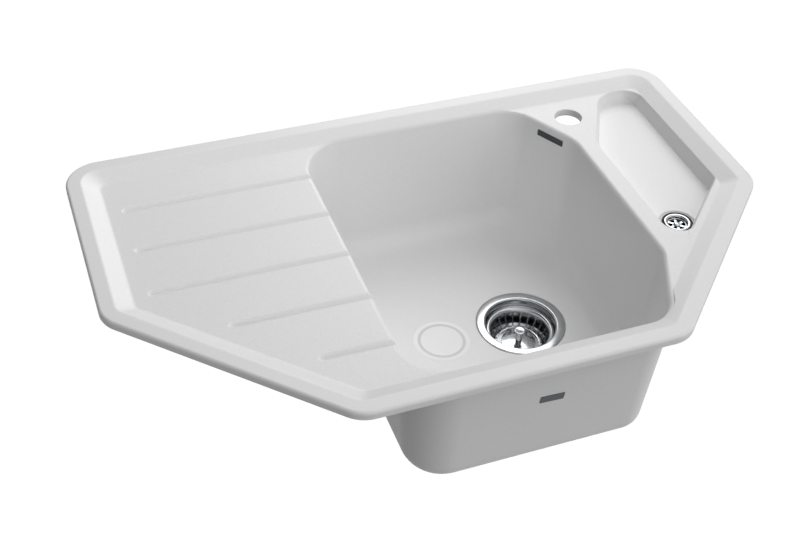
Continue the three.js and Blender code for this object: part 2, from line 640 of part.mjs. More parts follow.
// Moulded body: funnel with a threaded outlet, a stub for the hose, and a ribbed hub that takes the bolt.
function wasteBody() {
  const shellProfile = [
    [0, bodyTop],
    [bodyOuter + 5, bodyTop],
    [bodyOuter + 5, bodyTop - 3],
    [bodyOuter, bodyTop - 4],
    [bodyOuter, bodyTop - BODY_STRAIGHT],
    [bodyOuter - BODY_SHOULDER, bodyTop - BODY_STRAIGHT - BODY_SHOULDER * 1.5],
    [OUTLET_RADIUS + 3, bodyBottom],
    [OUTLET_RADIUS + 3, bodyBottom - 4],
    [OUTLET_RADIUS, bodyBottom - 4],
    [OUTLET_RADIUS, bodyBottom - OUTLET_LENGTH],
    [0, bodyBottom - OUTLET_LENGTH],
  ];
  const hollowProfile = [
    [0, bodyTop + 1],
    [bodyInner, bodyTop + 1],
    [bodyInner, bodyTop - BODY_STRAIGHT],
    [bodyInner - BODY_SHOULDER, bodyTop - BODY_STRAIGHT - BODY_SHOULDER],
    [outletInner, bodyBottom],
    [outletInner, bodyBottom - OUTLET_LENGTH - 1],
    [0, bodyBottom - OUTLET_LENGTH - 1],
  ];
  const coreProfile = [
    [0, hubTop],
    [bodyInner + 1, hubTop],
    [bodyInner + 1 - BODY_SHOULDER, bodyTop - BODY_STRAIGHT - BODY_SHOULDER],
    [outletInner + 1, bodyBottom],
    [outletInner + 1, bodyBottom - 4],
    [0, bodyBottom - 4],
  ];
  const [stubStart, boreStart, boreEnd] = [bodyInner + 1, bodyInner - 4, stubEnd + 1];
  const stub = laid([[0, stubStart], [STUB_RADIUS, stubStart], [STUB_RADIUS, stubEnd], [0, stubEnd]], stubZ);
  const bore = laid([[0, boreStart], [TAIL_RADIUS, boreStart], [TAIL_RADIUS, boreEnd], [0, boreEnd]], stubZ);
  const hub = disc(HUB_RADIUS, hubTop - INSERT_LENGTH - 3, hubTop, SMALL_ROUND);
  const rib = block(-bodyInner, bodyInner, -1.5, 1.5, bodyBottom - 4, hubTop - 5);
  const ribs = [30, 90, 150].map((degrees) => rib.rotate([0, 0, degrees]));
  const spider = joined(hub, ...ribs).intersect(turned(coreProfile));
  const socket = joined(
    disc(INSERT_RADIUS + CLEARANCE, hubTop - INSERT_LENGTH - CLEARANCE, hubTop + 1, SMALL_ROUND),
    disc(BOLT_RADIUS + CLEARANCE, bodyBottom - 5, hubTop, SMALL_ROUND),
  );
  const shell = less(joined(turned(shellProfile), stub), turned(hollowProfile), bore);
  return less(joined(shell, spider), socket);
}

const bodyInsert = () =>
  washer(BOLT_RADIUS + CLEARANCE, INSERT_RADIUS, hubTop - INSERT_LENGTH, hubTop - 1, SMALL_ROUND);

const boltWasher = () => {
  const low = throatFloor + CLEARANCE;
  return washer(BOLT_RADIUS + CLEARANCE, BOLT_WASHER_RADIUS, low, low + 1, SMALL_ROUND);
};

// Raised-head bolt with a cross slot, which pulls the steel cup and the body together.
function centreBolt() {
  const headLow = throatFloor + 2 * CLEARANCE + 1;
  const end = hubTop - INSERT_LENGTH - 2;
  const slot = block(-BOLT_HEAD_RADIUS, BOLT_HEAD_RADIUS, -0.8, 0.8, headLow + BOLT_HEAD_HEIGHT * 0.6, cupFloor);
  return less(turned([
    [0, end],
    [BOLT_RADIUS - 1, end],
    [BOLT_RADIUS, end + 1],
    [BOLT_RADIUS, headLow],
    [BOLT_HEAD_RADIUS, headLow],
    [BOLT_HEAD_RADIUS, headLow + BOLT_HEAD_HEIGHT * 0.5],
    [BOLT_HEAD_RADIUS - 2, headLow + BOLT_HEAD_HEIGHT * 0.85],
    [0, headLow + BOLT_HEAD_HEIGHT],
  ], SMALL_ROUND), slot, slot.rotate([0, 0, 90]));
}

// Hose connection on the stub: flat seal, flanged tail, union nut.
const tailFlangeAt = stubEnd + CLEARANCE + WASHER + CLEARANCE;
const nutEnd = tailFlangeAt + TAIL_FLANGE + CLEARANCE + 2.5;

const inletSeal = () => {
  const [near, far] = [stubEnd + CLEARANCE, stubEnd + CLEARANCE + WASHER];
  return laid([[TAIL_RADIUS, near], [STUB_RADIUS, near], [STUB_RADIUS, far], [TAIL_RADIUS, far]], stubZ);
};

// Barbed tail for a hose, from a flange at one distance along its axis.
function hoseTail(start, flangeRadius) {
  const end = start + TAIL_FLANGE + TAIL_LENGTH;
  const barbs = [17, 10].flatMap((back) => [
    [TAIL_RADIUS, end - back],
    [TAIL_RADIUS + 1, end - back],
    [TAIL_RADIUS, end - back + 5],
  ]);
  return [
    [TAIL_BORE, start],
    [flangeRadius, start],
    [flangeRadius, start + TAIL_FLANGE],
    [TAIL_RADIUS, start + TAIL_FLANGE],
    ...barbs,
    [TAIL_RADIUS - 0.8, end],
    [TAIL_BORE, end],
  ];
}

const inletTail = () => laid(hoseTail(tailFlangeAt, STUB_RADIUS), stubZ);

function inletNut() {
  const start = nutEnd - NUT_LENGTH;
  const hexagon = laid([[0, start], [NUT_RADIUS, start], [NUT_RADIUS, nutEnd], [0, nutEnd]], stubZ, 6);
  const inside = laid([
    [0, start - 1],
    [STUB_RADIUS + CLEARANCE, start - 1],
    [STUB_RADIUS + CLEARANCE, tailFlangeAt + TAIL_FLANGE + CLEARANCE],
    [TAIL_RADIUS + 1.3, tailFlangeAt + TAIL_FLANGE + CLEARANCE],
    [TAIL_RADIUS + 1.3, nutEnd + 1],
    [0, nutEnd + 1],
  ], stubZ);
  return less(hexagon, inside);
}

// ---- Basket, on the same axis ----

const basketRim = ledgeTop + CLEARANCE;
const basketFloor = basketRim - BASKET_DEPTH;

// Pressed cage with a rolled rim and a ring of tall slots in its tapered wall.
function basketCage() {
  const bore = STEM_RADIUS + CLEARANCE;
  const profile = [
    [bore, basketFloor],
    [BASKET_FLOOR_RADIUS - 1, basketFloor],
    [BASKET_FLOOR_RADIUS + 1, basketFloor + 1],
    [BASKET_TOP_RADIUS, basketRim - 1.5],
    [BASKET_TOP_RADIUS + 1.5, basketRim],
    [BASKET_RIM_RADIUS - 1, basketRim],
    [BASKET_RIM_RADIUS, basketRim + 0.8],
    [BASKET_RIM_RADIUS - 1, basketRim + 1.8],
    [BASKET_TOP_RADIUS + 0.4, basketRim + 1.2],
    [BASKET_TOP_RADIUS - 1.2, basketRim - 0.6],
    [BASKET_FLOOR_RADIUS - 0.4, basketFloor + 1.8],
    [BASKET_FLOOR_RADIUS - 2, basketFloor + SHEET],
    [bore, basketFloor + SHEET],
  ];
  const [slotLow, slotHigh] = [basketFloor + 3, basketRim - 4];
  const slot = block(
    BASKET_FLOOR_RADIUS - 4, BASKET_TOP_RADIUS + 4, -SLOT_WIDTH / 2, SLOT_WIDTH / 2, slotLow, slotHigh,
  );
  const slots = Array.from({ length: BASKET_SLOTS }, (_, i) => slot.rotate([0, 0, (i * 360) / BASKET_SLOTS]));
  return less(turned(profile, 2 * BASKET_SLOTS), ...slots);
}

// Domed plate on the basket's floor.
function basketDish() {
  const bore = STEM_RADIUS + CLEARANCE;
  const low = basketFloor + SHEET + CLEARANCE;
  return turned([
    [bore, low + DISH_HEIGHT - 1],
    [DISH_RADIUS * 0.6, low + DISH_HEIGHT * 0.75 - 1],
    [DISH_RADIUS - 2, low],
    [DISH_RADIUS, low],
    [DISH_RADIUS, low + 0.8],
    [DISH_RADIUS * 0.6, low + DISH_HEIGHT * 0.75],
    [bore, low + DISH_HEIGHT],
  ], 24);
}

const dishTop = basketFloor + SHEET + CLEARANCE + DISH_HEIGHT;
const stemTop = dishTop + STEM_HEIGHT - KNOB_HEIGHT;
const sealTop = basketFloor - CLEARANCE;
const sealSeat = cupFloor + CLEARANCE;
const clipLow = sealSeat + 0.4;

// Rubber plug under the basket: a flat flange on the cup's floor and a cone that enters the throat.
const basketSeal = () =>
  turned([
    [STEM_RADIUS + CLEARANCE, clipLow + 1.6],
    [CLIP_RADIUS + 1, clipLow + 1.6],
    [CLIP_RADIUS + 2, sealSeat - 2.5],
    [THROAT_RADIUS - 2.5, sealSeat - 2.5],
    [THROAT_RADIUS - 0.5, sealSeat],
    [SEAL_RADIUS, sealSeat],
    [SEAL_RADIUS, sealTop],
    [STEM_RADIUS + CLEARANCE, sealTop],
  ]);

// Star washer pressed on the stem's end, which holds the seal.
const basketClip = () => washer(STEM_RADIUS - 1 + CLEARANCE, CLIP_RADIUS, clipLow, clipLow + 1, SMALL_ROUND);

// Stem through the seal, the basket and the dish, ridged where fingers take it.
function basketStem() {
  const ridges = Array.from({ length: STEM_RIDGES }, (_, i) => dishTop + 1.2 + i * RIDGE_PITCH).flatMap((z) => [
    [STEM_RADIUS, z],
    [STEM_RADIUS + 1.4, z + RIDGE_PITCH / 2],
  ]);
  return turned([
    [0, clipLow - 0.8],
    [STEM_RADIUS - 1, clipLow - 0.8],
    [STEM_RADIUS - 1, clipLow + 1 + CLEARANCE],
    [STEM_RADIUS, clipLow + 1 + CLEARANCE],
    ...ridges,
    [STEM_RADIUS, stemTop],
    [STEM_RADIUS - 1, stemTop],
    [STEM_RADIUS - 1, stemTop + KNOB_HEIGHT - 2],
    [0, stemTop + KNOB_HEIGHT - 2],
  ], SMALL_ROUND);
}

// Flared knob on the stem's end.
function basketKnob() {
  const low = stemTop + CLEARANCE;
  const bore = STEM_RADIUS - 1 + CLEARANCE;
  const blind = stemTop + KNOB_HEIGHT - 2 + CLEARANCE;
  return turned([
    [bore, low],
    [STEM_RADIUS + 0.6, low],
    [KNOB_RADIUS - 2, low + KNOB_HEIGHT * 0.4],
    [KNOB_RADIUS, low + KNOB_HEIGHT * 0.75],
    [KNOB_RADIUS, low + KNOB_HEIGHT * 0.9],
    [KNOB_RADIUS - 1, low + KNOB_HEIGHT],
    [0, low + KNOB_HEIGHT - 0.4],
    [0, blind],
    [bore, blind],
  ], SMALL_ROUND);
}

// ---- Grid waste of the half-bowl, built round its own axis ----

const gridSealLow = gridSeat + CLEARANCE;
const gridLow = gridSealLow + GASKET + CLEARANCE;
const gridTop = gridLow + SHEET;
const gridFloor = gridTop - GRID_DEPTH;
const trayWasherTop = trayBottom - CLEARANCE;
const trayBodyTop = trayWasherTop - WASHER - CLEARANCE;
const trayBodyBottom = trayBodyTop - TRAY_BODY_DEPTH;
const trayHubTop = trayBodyTop - 3;

// Dark ring that the grid beds on; its collar shows round the bright ring.
const gridSeal = () =>
  turned([
    [GRID_CUP_RADIUS + SHEET + 1, gridSealLow],
    [GRID_SEAL_RADIUS, gridSealLow],
    [GRID_SEAL_RADIUS, gridTop - 0.4],
    [GRID_SEAL_RADIUS - 0.8, gridTop],
    [GRID_RADIUS + CLEARANCE, gridTop],
    [GRID_RADIUS + CLEARANCE, gridSealLow + GASKET],
    [GRID_CUP_RADIUS + SHEET + 1, gridSealLow + GASKET],
  ], ROUND);

// Pressed grid: bright ring, shallow cup, spokes that meet at a boss for the screw.
function trayGrid() {
  const outer = [
    [SCREW_RADIUS + CLEARANCE, gridFloor - SHEET],
    [GRID_CUP_RADIUS, gridFloor - SHEET],
    [GRID_CUP_RADIUS + SHEET - 0.3, gridLow],
    [GRID_RADIUS, gridLow],
    [GRID_RADIUS, gridTop - 0.2],
    [GRID_RADIUS - 1.2, gridTop + 0.4],
    [GRID_CUP_RADIUS + 0.6, gridTop + 0.2],
    [GRID_CUP_RADIUS - 0.6, gridTop - 1],
    [GRID_CUP_RADIUS - 1, gridFloor],
    [SCREW_RADIUS + CLEARANCE, gridFloor],
  ];
  const openings = Array.from({ length: GRID_SPOKES }, (_, i) => {
    const angle = (2 * Math.PI * i) / GRID_SPOKES;
    const half = Math.PI / GRID_SPOKES;
    const inner = Math.asin(SPOKE_WIDTH / 2 / GRID_BOSS_RADIUS);
    const outerHalf = Math.asin(SPOKE_WIDTH / 2 / (GRID_CUP_RADIUS - 2));
    const sector = new THREE.Shape();
    sector.absarc(0, 0, GRID_CUP_RADIUS - 2, angle - half + outerHalf, angle + half - outerHalf, false);
    sector.absarc(0, 0, GRID_BOSS_RADIUS, angle + half - inner, angle - half + inner, true);
    const opening = new THREE.ExtrudeGeometry(sector, { depth: SHEET + 2, bevelEnabled: false, curveSegments: 5 });
    return solid(opening.translate(0, 0, gridFloor - SHEET - 1));
  });
  return less(turned(outer, ROUND), ...openings);
}

// Screw through the grid's boss into the insert in the body.
function gridScrew() {
  const headLow = gridFloor + CLEARANCE;
  const end = trayHubTop - TRAY_INSERT_LENGTH;
  const slot = block(-SCREW_HEAD_RADIUS, SCREW_HEAD_RADIUS, -0.5, 0.5, headLow + 1.2, gridTop);
  return less(turned([
    [0, end],
    [SCREW_RADIUS, end],
    [SCREW_RADIUS, headLow],
    [SCREW_HEAD_RADIUS, headLow],
    [SCREW_HEAD_RADIUS, headLow + 0.8],
    [SCREW_HEAD_RADIUS - 1.6, headLow + 2],
    [0, headLow + 2.3],
  ], SMALL_ROUND), slot, slot.rotate([0, 0, 90]));
}

const trayWasher = () =>
  washer(GRID_HOLE_RADIUS + 0.5, TRAY_BODY_RADIUS + 4, trayWasherTop - WASHER, trayWasherTop, 32);

// Moulded cup under the half-bowl, closed below, with a hub for the screw and a tail for the hose.
function trayBody() {
  const tailZ = trayBodyBottom + TAIL_RADIUS + 3;
  const inner = TRAY_BODY_RADIUS - 2.5;
  const rootEnd = TRAY_BODY_RADIUS + 2;
  const cup = turned([
    [0, trayBodyBottom],
    [TRAY_BODY_RADIUS - 3, trayBodyBottom],
    [TRAY_BODY_RADIUS, trayBodyBottom + 3],
    [TRAY_BODY_RADIUS, trayBodyTop - 3],
    [TRAY_BODY_RADIUS + 4, trayBodyTop - 3],
    [TRAY_BODY_RADIUS + 4, trayBodyTop],
    [0, trayBodyTop],
  ], 32);
  const hollow = turned([
    [0, trayBodyBottom + 2.5],
    [inner, trayBodyBottom + 2.5],
    [inner, trayBodyTop + 1],
    [0, trayBodyTop + 1],
  ], 32);
  const tail = joined(
    laid(hoseTail(inner, TAIL_RADIUS), tailZ),
    laid([[0, inner], [TAIL_RADIUS, inner], [TAIL_RADIUS, rootEnd], [0, rootEnd]], tailZ),
  );
  const [boreStart, boreEnd] = [inner - 3, TRAY_BODY_RADIUS + 3];
  const bore = laid([[0, boreStart], [TAIL_BORE, boreStart], [TAIL_BORE, boreEnd], [0, boreEnd]], tailZ);
  const hubLow = trayHubTop - TRAY_INSERT_LENGTH - 2;
  const hub = disc(TRAY_HUB_RADIUS, hubLow, trayHubTop, SMALL_ROUND);
  const rib = block(-inner - 1, inner + 1, -1, 1, hubLow, trayHubTop - 2);
  const socket = disc(TRAY_INSERT_RADIUS + CLEARANCE, trayHubTop - TRAY_INSERT_LENGTH, trayHubTop + 1, SMALL_ROUND);
  const shell = less(joined(cup, tail), hollow, bore);
  return less(joined(shell, hub, rib.rotate([0, 0, 45]), rib.rotate([0, 0, -45])), socket);
}

const trayInsert = () =>
  washer(SCREW_RADIUS + CLEARANCE, TRAY_INSERT_RADIUS, trayHubTop - TRAY_INSERT_LENGTH + CLEARANCE, trayHubTop,
    SMALL_ROUND);

// ---- The assembly ----

const underBowl = (body) => body.rotate([0, 0, inletAngle]).translate([WASTE_X, WASTE_Y, 0]);
const underTray = (body) => body.rotate([0, 0, inletAngle + 180]).translate([drainX, TRAY_DRAIN_Y, 0]);

const pieces = [
  ["basin", composite, basin()],
  ["waste_flange", stainless, underBowl(wasteFlange())],
  ["flange_gasket", blackRubber, underBowl(flangeGasket())],
  ["body_washer", blackRubber, underBowl(bodyWasher())],
  ["waste_body", greyPlastic, underBowl(wasteBody())],
  ["body_insert", brass, underBowl(bodyInsert())],
  ["bolt_washer", stainless, underBowl(boltWasher())],
  ["centre_bolt", stainless, underBowl(centreBolt())],
  ["inlet_seal", blackRubber, underBowl(inletSeal())],
  ["inlet_tail", greyPlastic, underBowl(inletTail())],
  ["inlet_nut", greyPlastic, underBowl(inletNut())],
  ["basket_cage", stainless, underBowl(basketCage())],
  ["basket_dish", stainless, underBowl(basketDish())],
  ["basket_stem", chrome, underBowl(basketStem())],
  ["basket_knob", chrome, underBowl(basketKnob())],
  ["basket_seal", blackRubber, underBowl(basketSeal())],
  ["basket_clip", stainless, underBowl(basketClip())],
  ["grid_seal", blackRubber, underTray(gridSeal())],
  ["tray_grid", chrome, underTray(trayGrid())],
  ["grid_screw", chrome, underTray(gridScrew())],
  ["tray_washer", blackRubber, underTray(trayWasher())],
  ["tray_body", greyPlastic, underTray(trayBody())],
  ["tray_insert", brass, underTray(trayInsert())],
];

const sink = new THREE.Group();
for (const [name, material, body] of pieces) {
  const mesh = new THREE.Mesh(shape(body), material);
  mesh.name = name;
  sink.add(mesh);
}

export default sink;
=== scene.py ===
import math

import bmesh
import bpy
import mathutils
import mathutils.bvhtree
import numpy as np
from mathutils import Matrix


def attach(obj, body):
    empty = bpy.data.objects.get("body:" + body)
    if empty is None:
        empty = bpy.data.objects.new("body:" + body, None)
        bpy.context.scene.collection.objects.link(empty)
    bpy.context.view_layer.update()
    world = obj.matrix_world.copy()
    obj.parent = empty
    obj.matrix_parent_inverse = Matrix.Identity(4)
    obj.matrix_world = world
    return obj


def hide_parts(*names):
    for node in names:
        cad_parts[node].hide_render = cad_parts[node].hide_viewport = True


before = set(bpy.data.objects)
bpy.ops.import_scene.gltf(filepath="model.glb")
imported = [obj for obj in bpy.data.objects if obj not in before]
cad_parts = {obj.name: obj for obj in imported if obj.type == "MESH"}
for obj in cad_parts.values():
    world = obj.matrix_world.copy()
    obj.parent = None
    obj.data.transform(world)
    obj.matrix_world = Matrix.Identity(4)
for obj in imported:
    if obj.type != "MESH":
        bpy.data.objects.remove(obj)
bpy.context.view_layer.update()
scene = bpy.context.scene

# ---- Basin ----
# The whole sink is one moulding of pale composite, quartz sand in acrylic resin, pressed in a heated mould.
# Every edge comes out of the mould rounded, and the walls lean a little so that the piece releases.

# Sizes are in millimetres; the mesh is scaled to metres when it is made. Outlines run anticlockwise seen from
# above; radii go with their corners, and walls and climbs with the edges that start there.
RIM = [(-395, 0), (-395, -276.5), (-181.5, -490), (181.5, -490), (395, -276.5), (395, 0)]
RIM_RADII = [42, 38, 38, 38, 38, 42]
INNER_CORNER = 12
RIM_TOP, RIM_FLAT, RIM_ROUND = 10, 18, 3.5
SLOPE, SLOPE_BEND = 20, 2
SEAT, UNDER_EDGE = 24, 0.6
DECK, DECK_UNDERSIDE, WALL = 0.5, -9, 9
RISE = (RIM_TOP - DECK) / SLOPE

BOWL = [(-111.5, -36), (-111.5, -452), (181, -452), (226.5, -353), (226.5, -124.2), (179.6, -36)]
BOWL_RADII = [55, 46, 42, 36, 55, 42]
BOWL_CLIMBS = [None, 0, None, None, None, 2]
BOWL_FLOOR, FLOOR_FALL, FLOOR_ROUND, DRAFT, LIP = -174, 3, 30, 9, 6
BOWL_OUTER_RADII = [54.5, 54.5, 39.5, 36.5, 54.5, 42.5]
BOWL_WALLS = np.array([5.5, 12.5, 5.5, 5.5, 5.5, 5.5])
OUTER_DRAFT, OUTER_ROUND = 12, 29

TRAY = [(303.3, -38), (252, -134.6), (252, -326), (279.6, -326), (357, -248.6), (357, -38)]
TRAY_RADII = [37, 50, 24, 22, 12, 22]
TRAY_FLOOR_RADII = [37, 50, 24, 22, 9, 13]
TRAY_CLIMBS = [None, None, None, None, 0, 0]
TRAY_FLOOR, TRAY_FALL, TRAY_ROUND, TRAY_DRAFT, TRAY_LIP = -16.5, 3, 2, 4, 2
TRAY_OUTER_ROUND = 6

WASTE, WASTE_SEAT_R, WASTE_SEAT_DEPTH, WASTE_HOLE_R = (114.5, -247), 57, 1.8, 46
DRAIN, DRAIN_FLOOR, DRAIN_SEAT_R, DRAIN_HOLE_R = (284.5, -290), TRAY_FLOOR - TRAY_FALL, 22.5, 15
TAP, TAP_HOLE_R = (242, -73.5), 17.5


def ring(corners, radii, inwards=0.0, height=0.0, shrink=1.0, steps=16, between=9):
    """The outline moved in by a distance for each edge, its corners arcs, with a height for each edge."""
    corners = np.array(corners, float)
    count = len(corners)
    inwards = np.broadcast_to(np.asarray(inwards, float), count)
    height = np.broadcast_to(np.asarray(height, float), count)
    ahead = np.roll(corners, -1, axis=0) - corners
    along = ahead / np.linalg.norm(ahead, axis=1)[:, None]
    start = corners + np.column_stack([-along[:, 1], along[:, 0]]) * inwards[:, None]
    bends = []
    for i in range(count):
        a, b = along[i - 1], along[i]
        cross = a[0] * b[1] - a[1] * b[0]
        gap = start[i] - start[i - 1]
        corner = start[i - 1] + a * (gap[0] * b[1] - gap[1] * b[0]) / cross
        turn = math.atan2(cross, a @ b)
        radius = max(radii[i] - shrink * max(inwards[i - 1], inwards[i]), 1)
        centre = corner - a * radius * math.tan(turn / 2) + np.array([-a[1], a[0]]) * radius
        bend = []
        for k in range(steps + 1):
            s, c = math.sin(turn * k / steps), math.cos(turn * k / steps)
            x, y = centre + radius * np.array([a[1] * c + a[0] * s, a[1] * s - a[0] * c])
            bend.append((x, y, height[i - 1] + (height[i] - height[i - 1]) * k / steps))
        bends.append(np.array(bend))
    straights = [np.linspace(bends[i - 1][-1], bends[i][0], between + 2)[1:-1] for i in range(count)]
    return np.vstack([part for pair in zip(straights, bends) for part in pair])


def onto_circle(points, centre, radius, height):
    """A ring moved straight towards a centre until it lies on a circle."""
    away = points[:, :2] - np.array(centre)
    away *= radius / np.linalg.norm(away, axis=1)[:, None]
    return np.column_stack([away + np.array(centre), np.full(len(points), height)])


def circle(centre, radius, height, steps=96):
    """A level ring of points on a circle."""
    turn = np.arange(steps) * 2 * math.pi / steps
    x, y = centre[0] + radius * np.cos(turn), centre[1] + radius * np.sin(turn)
    return np.column_stack([x, y, np.full(steps, height)])


def skinned(name, rings, closed=False):
    """A body through rings of one point count, with flat ends, or closed on itself like a hoop."""
    count = len(rings[0])
    faces = []
    for k in range(len(rings) if closed else len(rings) - 1):
        low, high = k * count, (k + 1) % len(rings) * count
        for i in range(count):
            j = (i + 1) % count
            faces.append((low + i, low + j, high + j, high + i))
    if not closed:
        last = (len(rings) - 1) * count
        faces += [tuple(reversed(range(count))), tuple(range(last, last + count))]
    mesh = bpy.data.meshes.new(name)
    mesh.from_pydata((np.vstack(rings) * 0.001).tolist(), [], faces)
    body = bmesh.new()
    body.from_mesh(mesh)
    bmesh.ops.remove_doubles(body, verts=body.verts, dist=1e-7)
    bmesh.ops.dissolve_degenerate(body, edges=body.edges, dist=1e-8)
    bmesh.ops.triangulate(body, faces=[f for f in body.faces if len(f.verts) > 4])
    bmesh.ops.recalc_face_normals(body, faces=body.faces)
    body.to_mesh(mesh)
    body.free()
    piece = bpy.data.objects.new(name, mesh)
    scene.collection.objects.link(piece)
    return piece


def worked(piece, add=(), cut=()):
    """The piece with some bodies joined on, then others cut away; they are used up."""
    for operation, others in (("UNION", add), ("DIFFERENCE", cut)):
        for other in others:
            step = piece.modifiers.new(operation, "BOOLEAN")
            step.operation, step.solver, step.object = operation, "MANIFOLD", other
    result = piece.evaluated_get(bpy.context.evaluated_depsgraph_get())
    made = bpy.data.meshes.new_from_object(result)
    made.materials.clear()
    made.polygons.foreach_set("material_index", [0] * len(made.polygons))
    piece.modifiers.clear()
    old, piece.data = piece.data, made
    bpy.data.meshes.remove(old)
    for other in (*add, *cut):
        bpy.data.meshes.remove(other.data)
    return piece


def smoothed(piece, angle=32):
    """Smooth over every edge but the sharp ones, with the large faces ruling the shading."""
    piece.data.shade_smooth()
    piece.data.set_sharp_from_angle(angle=math.radians(angle))
    piece.modifiers.new("weigh", "WEIGHTED_NORMAL").keep_sharp = True


def rim_ring(inwards, height):
    """A line along the rim at a distance from its edge, with corners never sharper than the inner ones."""
    return ring(RIM, [max(r - inwards, INNER_CORNER) for r in RIM_RADII], inwards, height, shrink=0)


quarter = np.linspace(0, math.pi / 2, 9)
slab = [
    rim_ring(SEAT + 1, DECK_UNDERSIDE),
    rim_ring(SEAT, 0),
    rim_ring(UNDER_EDGE, 0),
    rim_ring(UNDER_EDGE / 4, UNDER_EDGE / 3),
    rim_ring(0, UNDER_EDGE),
]
for a in quarter:
    slab.append(rim_ring(RIM_ROUND * (1 - math.cos(a)), RIM_TOP - RIM_ROUND * (1 - math.sin(a))))
basin = skinned("basin_moulding", slab)

# The hollow inside the rim: level deck, then the slope up to the rim's top, with a soft bend at each end.
foot, head = RIM_FLAT + SLOPE, RIM_FLAT
hollow_lines = []
for t in np.linspace(0, 1, 7):
    hollow_lines.append(rim_ring(foot + SLOPE_BEND * (1 - 2 * t), DECK + RISE * SLOPE_BEND * t**2))
for t in np.linspace(0, 1, 7):
    hollow_lines.append(rim_ring(head + SLOPE_BEND * (1 - 2 * t), RIM_TOP - RISE * SLOPE_BEND * (1 - t) ** 2))
hollow = skinned("hollow", [*hollow_lines, rim_ring(head - SLOPE_BEND, RIM_TOP + 1)])


def floor_rings(outline, radii, height, draft, fillet, wall=0.0):
    """The round between a floor and a wall, from the floor's edge up."""
    rings = []
    for a in quarter:
        inwards = draft + fillet * (1 - math.sin(a)) - wall
        rings.append(ring(outline, radii, inwards, height + fillet * (1 - math.cos(a))))
    return rings


def lip_rings(outline, radii, radius, climbs):
    """A rounded lip; a climb is how far up the rim's slope an edge's lip lies, or None for the deck."""
    rings = []
    for share in np.linspace(0, 1, 9):
        out, high = [], []
        for climb in climbs:
            pitch = 0 if climb is None else RISE
            last = math.pi / 2 - math.atan(pitch)
            a = last * share
            top = DECK + pitch * (climb or 0)
            lift = radius * (math.sin(last) - pitch * (1 - math.cos(last)))
            out.append(-radius * (1 - math.cos(a)))
            high.append(top - lift + radius * math.sin(a))
        rings.append(ring(outline, radii, out, high))
    return [*rings, ring(outline, radii, out, RIM_TOP + 1)]


def bore(name, centre, profile, steps=96):
    """A body to cut away, round an upright line, from pairs of radius and height."""
    return skinned(name, [circle(centre, radius, height, steps) for radius, height in profile])


# The floor ends just inside the flange's seat, whose cut then takes its edge.
bowl_floor = floor_rings(BOWL, BOWL_RADII, BOWL_FLOOR + FLOOR_FALL, DRAFT, FLOOR_ROUND)
seat_edge = onto_circle(bowl_floor[0], WASTE, WASTE_SEAT_R - 2, BOWL_FLOOR)
bowl = skinned("bowl", [seat_edge, *bowl_floor, *lip_rings(BOWL, BOWL_RADII, LIP, BOWL_CLIMBS)])
bowl_shell = skinned("bowl_shell", [
    *floor_rings(BOWL, BOWL_OUTER_RADII, BOWL_FLOOR - WALL, OUTER_DRAFT, OUTER_ROUND, BOWL_WALLS),
    ring(BOWL, BOWL_OUTER_RADII, -BOWL_WALLS, DECK_UNDERSIDE / 2),
])

tray_floor = floor_rings(TRAY, TRAY_FLOOR_RADII, TRAY_FLOOR, TRAY_DRAFT, TRAY_ROUND)
tray_back = TRAY[0][1]
for level in tray_floor:
    level[:, 2] -= TRAY_FALL * np.clip((level[:, 1] - tray_back) / (DRAIN[1] - tray_back), 0, 1)
tray = skinned("tray", [*tray_floor, *lip_rings(TRAY, TRAY_RADII, TRAY_LIP, TRAY_CLIMBS)])
tray_shell = skinned("tray_shell", [
    *floor_rings(TRAY, TRAY_RADII, DRAIN_FLOOR - WALL, TRAY_DRAFT, TRAY_OUTER_ROUND, WALL),
    ring(TRAY, TRAY_RADII, -WALL, DECK_UNDERSIDE / 2),
])

holes = [
    bore("tap_hole", TAP, [
        (TAP_HOLE_R, DECK_UNDERSIDE - 1), (TAP_HOLE_R, DECK - 1.2), (TAP_HOLE_R + 0.4, DECK - 0.4),
        (TAP_HOLE_R + 1.2, DECK), (TAP_HOLE_R + 1.2, DECK + 1),
    ]),
    bore("waste_seat", WASTE, [
        (WASTE_SEAT_R, BOWL_FLOOR - WASTE_SEAT_DEPTH), (WASTE_SEAT_R, BOWL_FLOOR + FLOOR_FALL + 2),
    ]),
    bore("waste_hole", WASTE, [(WASTE_HOLE_R, BOWL_FLOOR - WALL - 1), (WASTE_HOLE_R, BOWL_FLOOR)]),
    bore("drain_seat", DRAIN, [
        (DRAIN_SEAT_R - 2, DRAIN_FLOOR - 1.6), (DRAIN_SEAT_R - 0.8, DRAIN_FLOOR - 1.1),
        (DRAIN_SEAT_R, DRAIN_FLOOR), (DRAIN_SEAT_R + 0.6, DRAIN_FLOOR + 0.6),
    ]),
    bore("drain_hole", DRAIN, [(DRAIN_HOLE_R, DRAIN_FLOOR - WALL - 1.5), (DRAIN_HOLE_R, DRAIN_FLOOR - 0.5)]),
]

# Five drainer lines, each a shallow channel that starts in a rounded scoop and runs into the bowl. Its lowest
# place goes from near its back edge to near its front edge, as a share of half its width.
LINE_STARTS = [(-340.5, -94), (-340.5, -169), (-340.5, -244), (-270.3, -319), (-195.3, -394)]
LINE_WIDTH, LINE_DEPTH, SCOOP_START = 11, 3.8, 0.12
LOWEST_AT_START, LOWEST_AT_BOWL = 0.5, -0.6


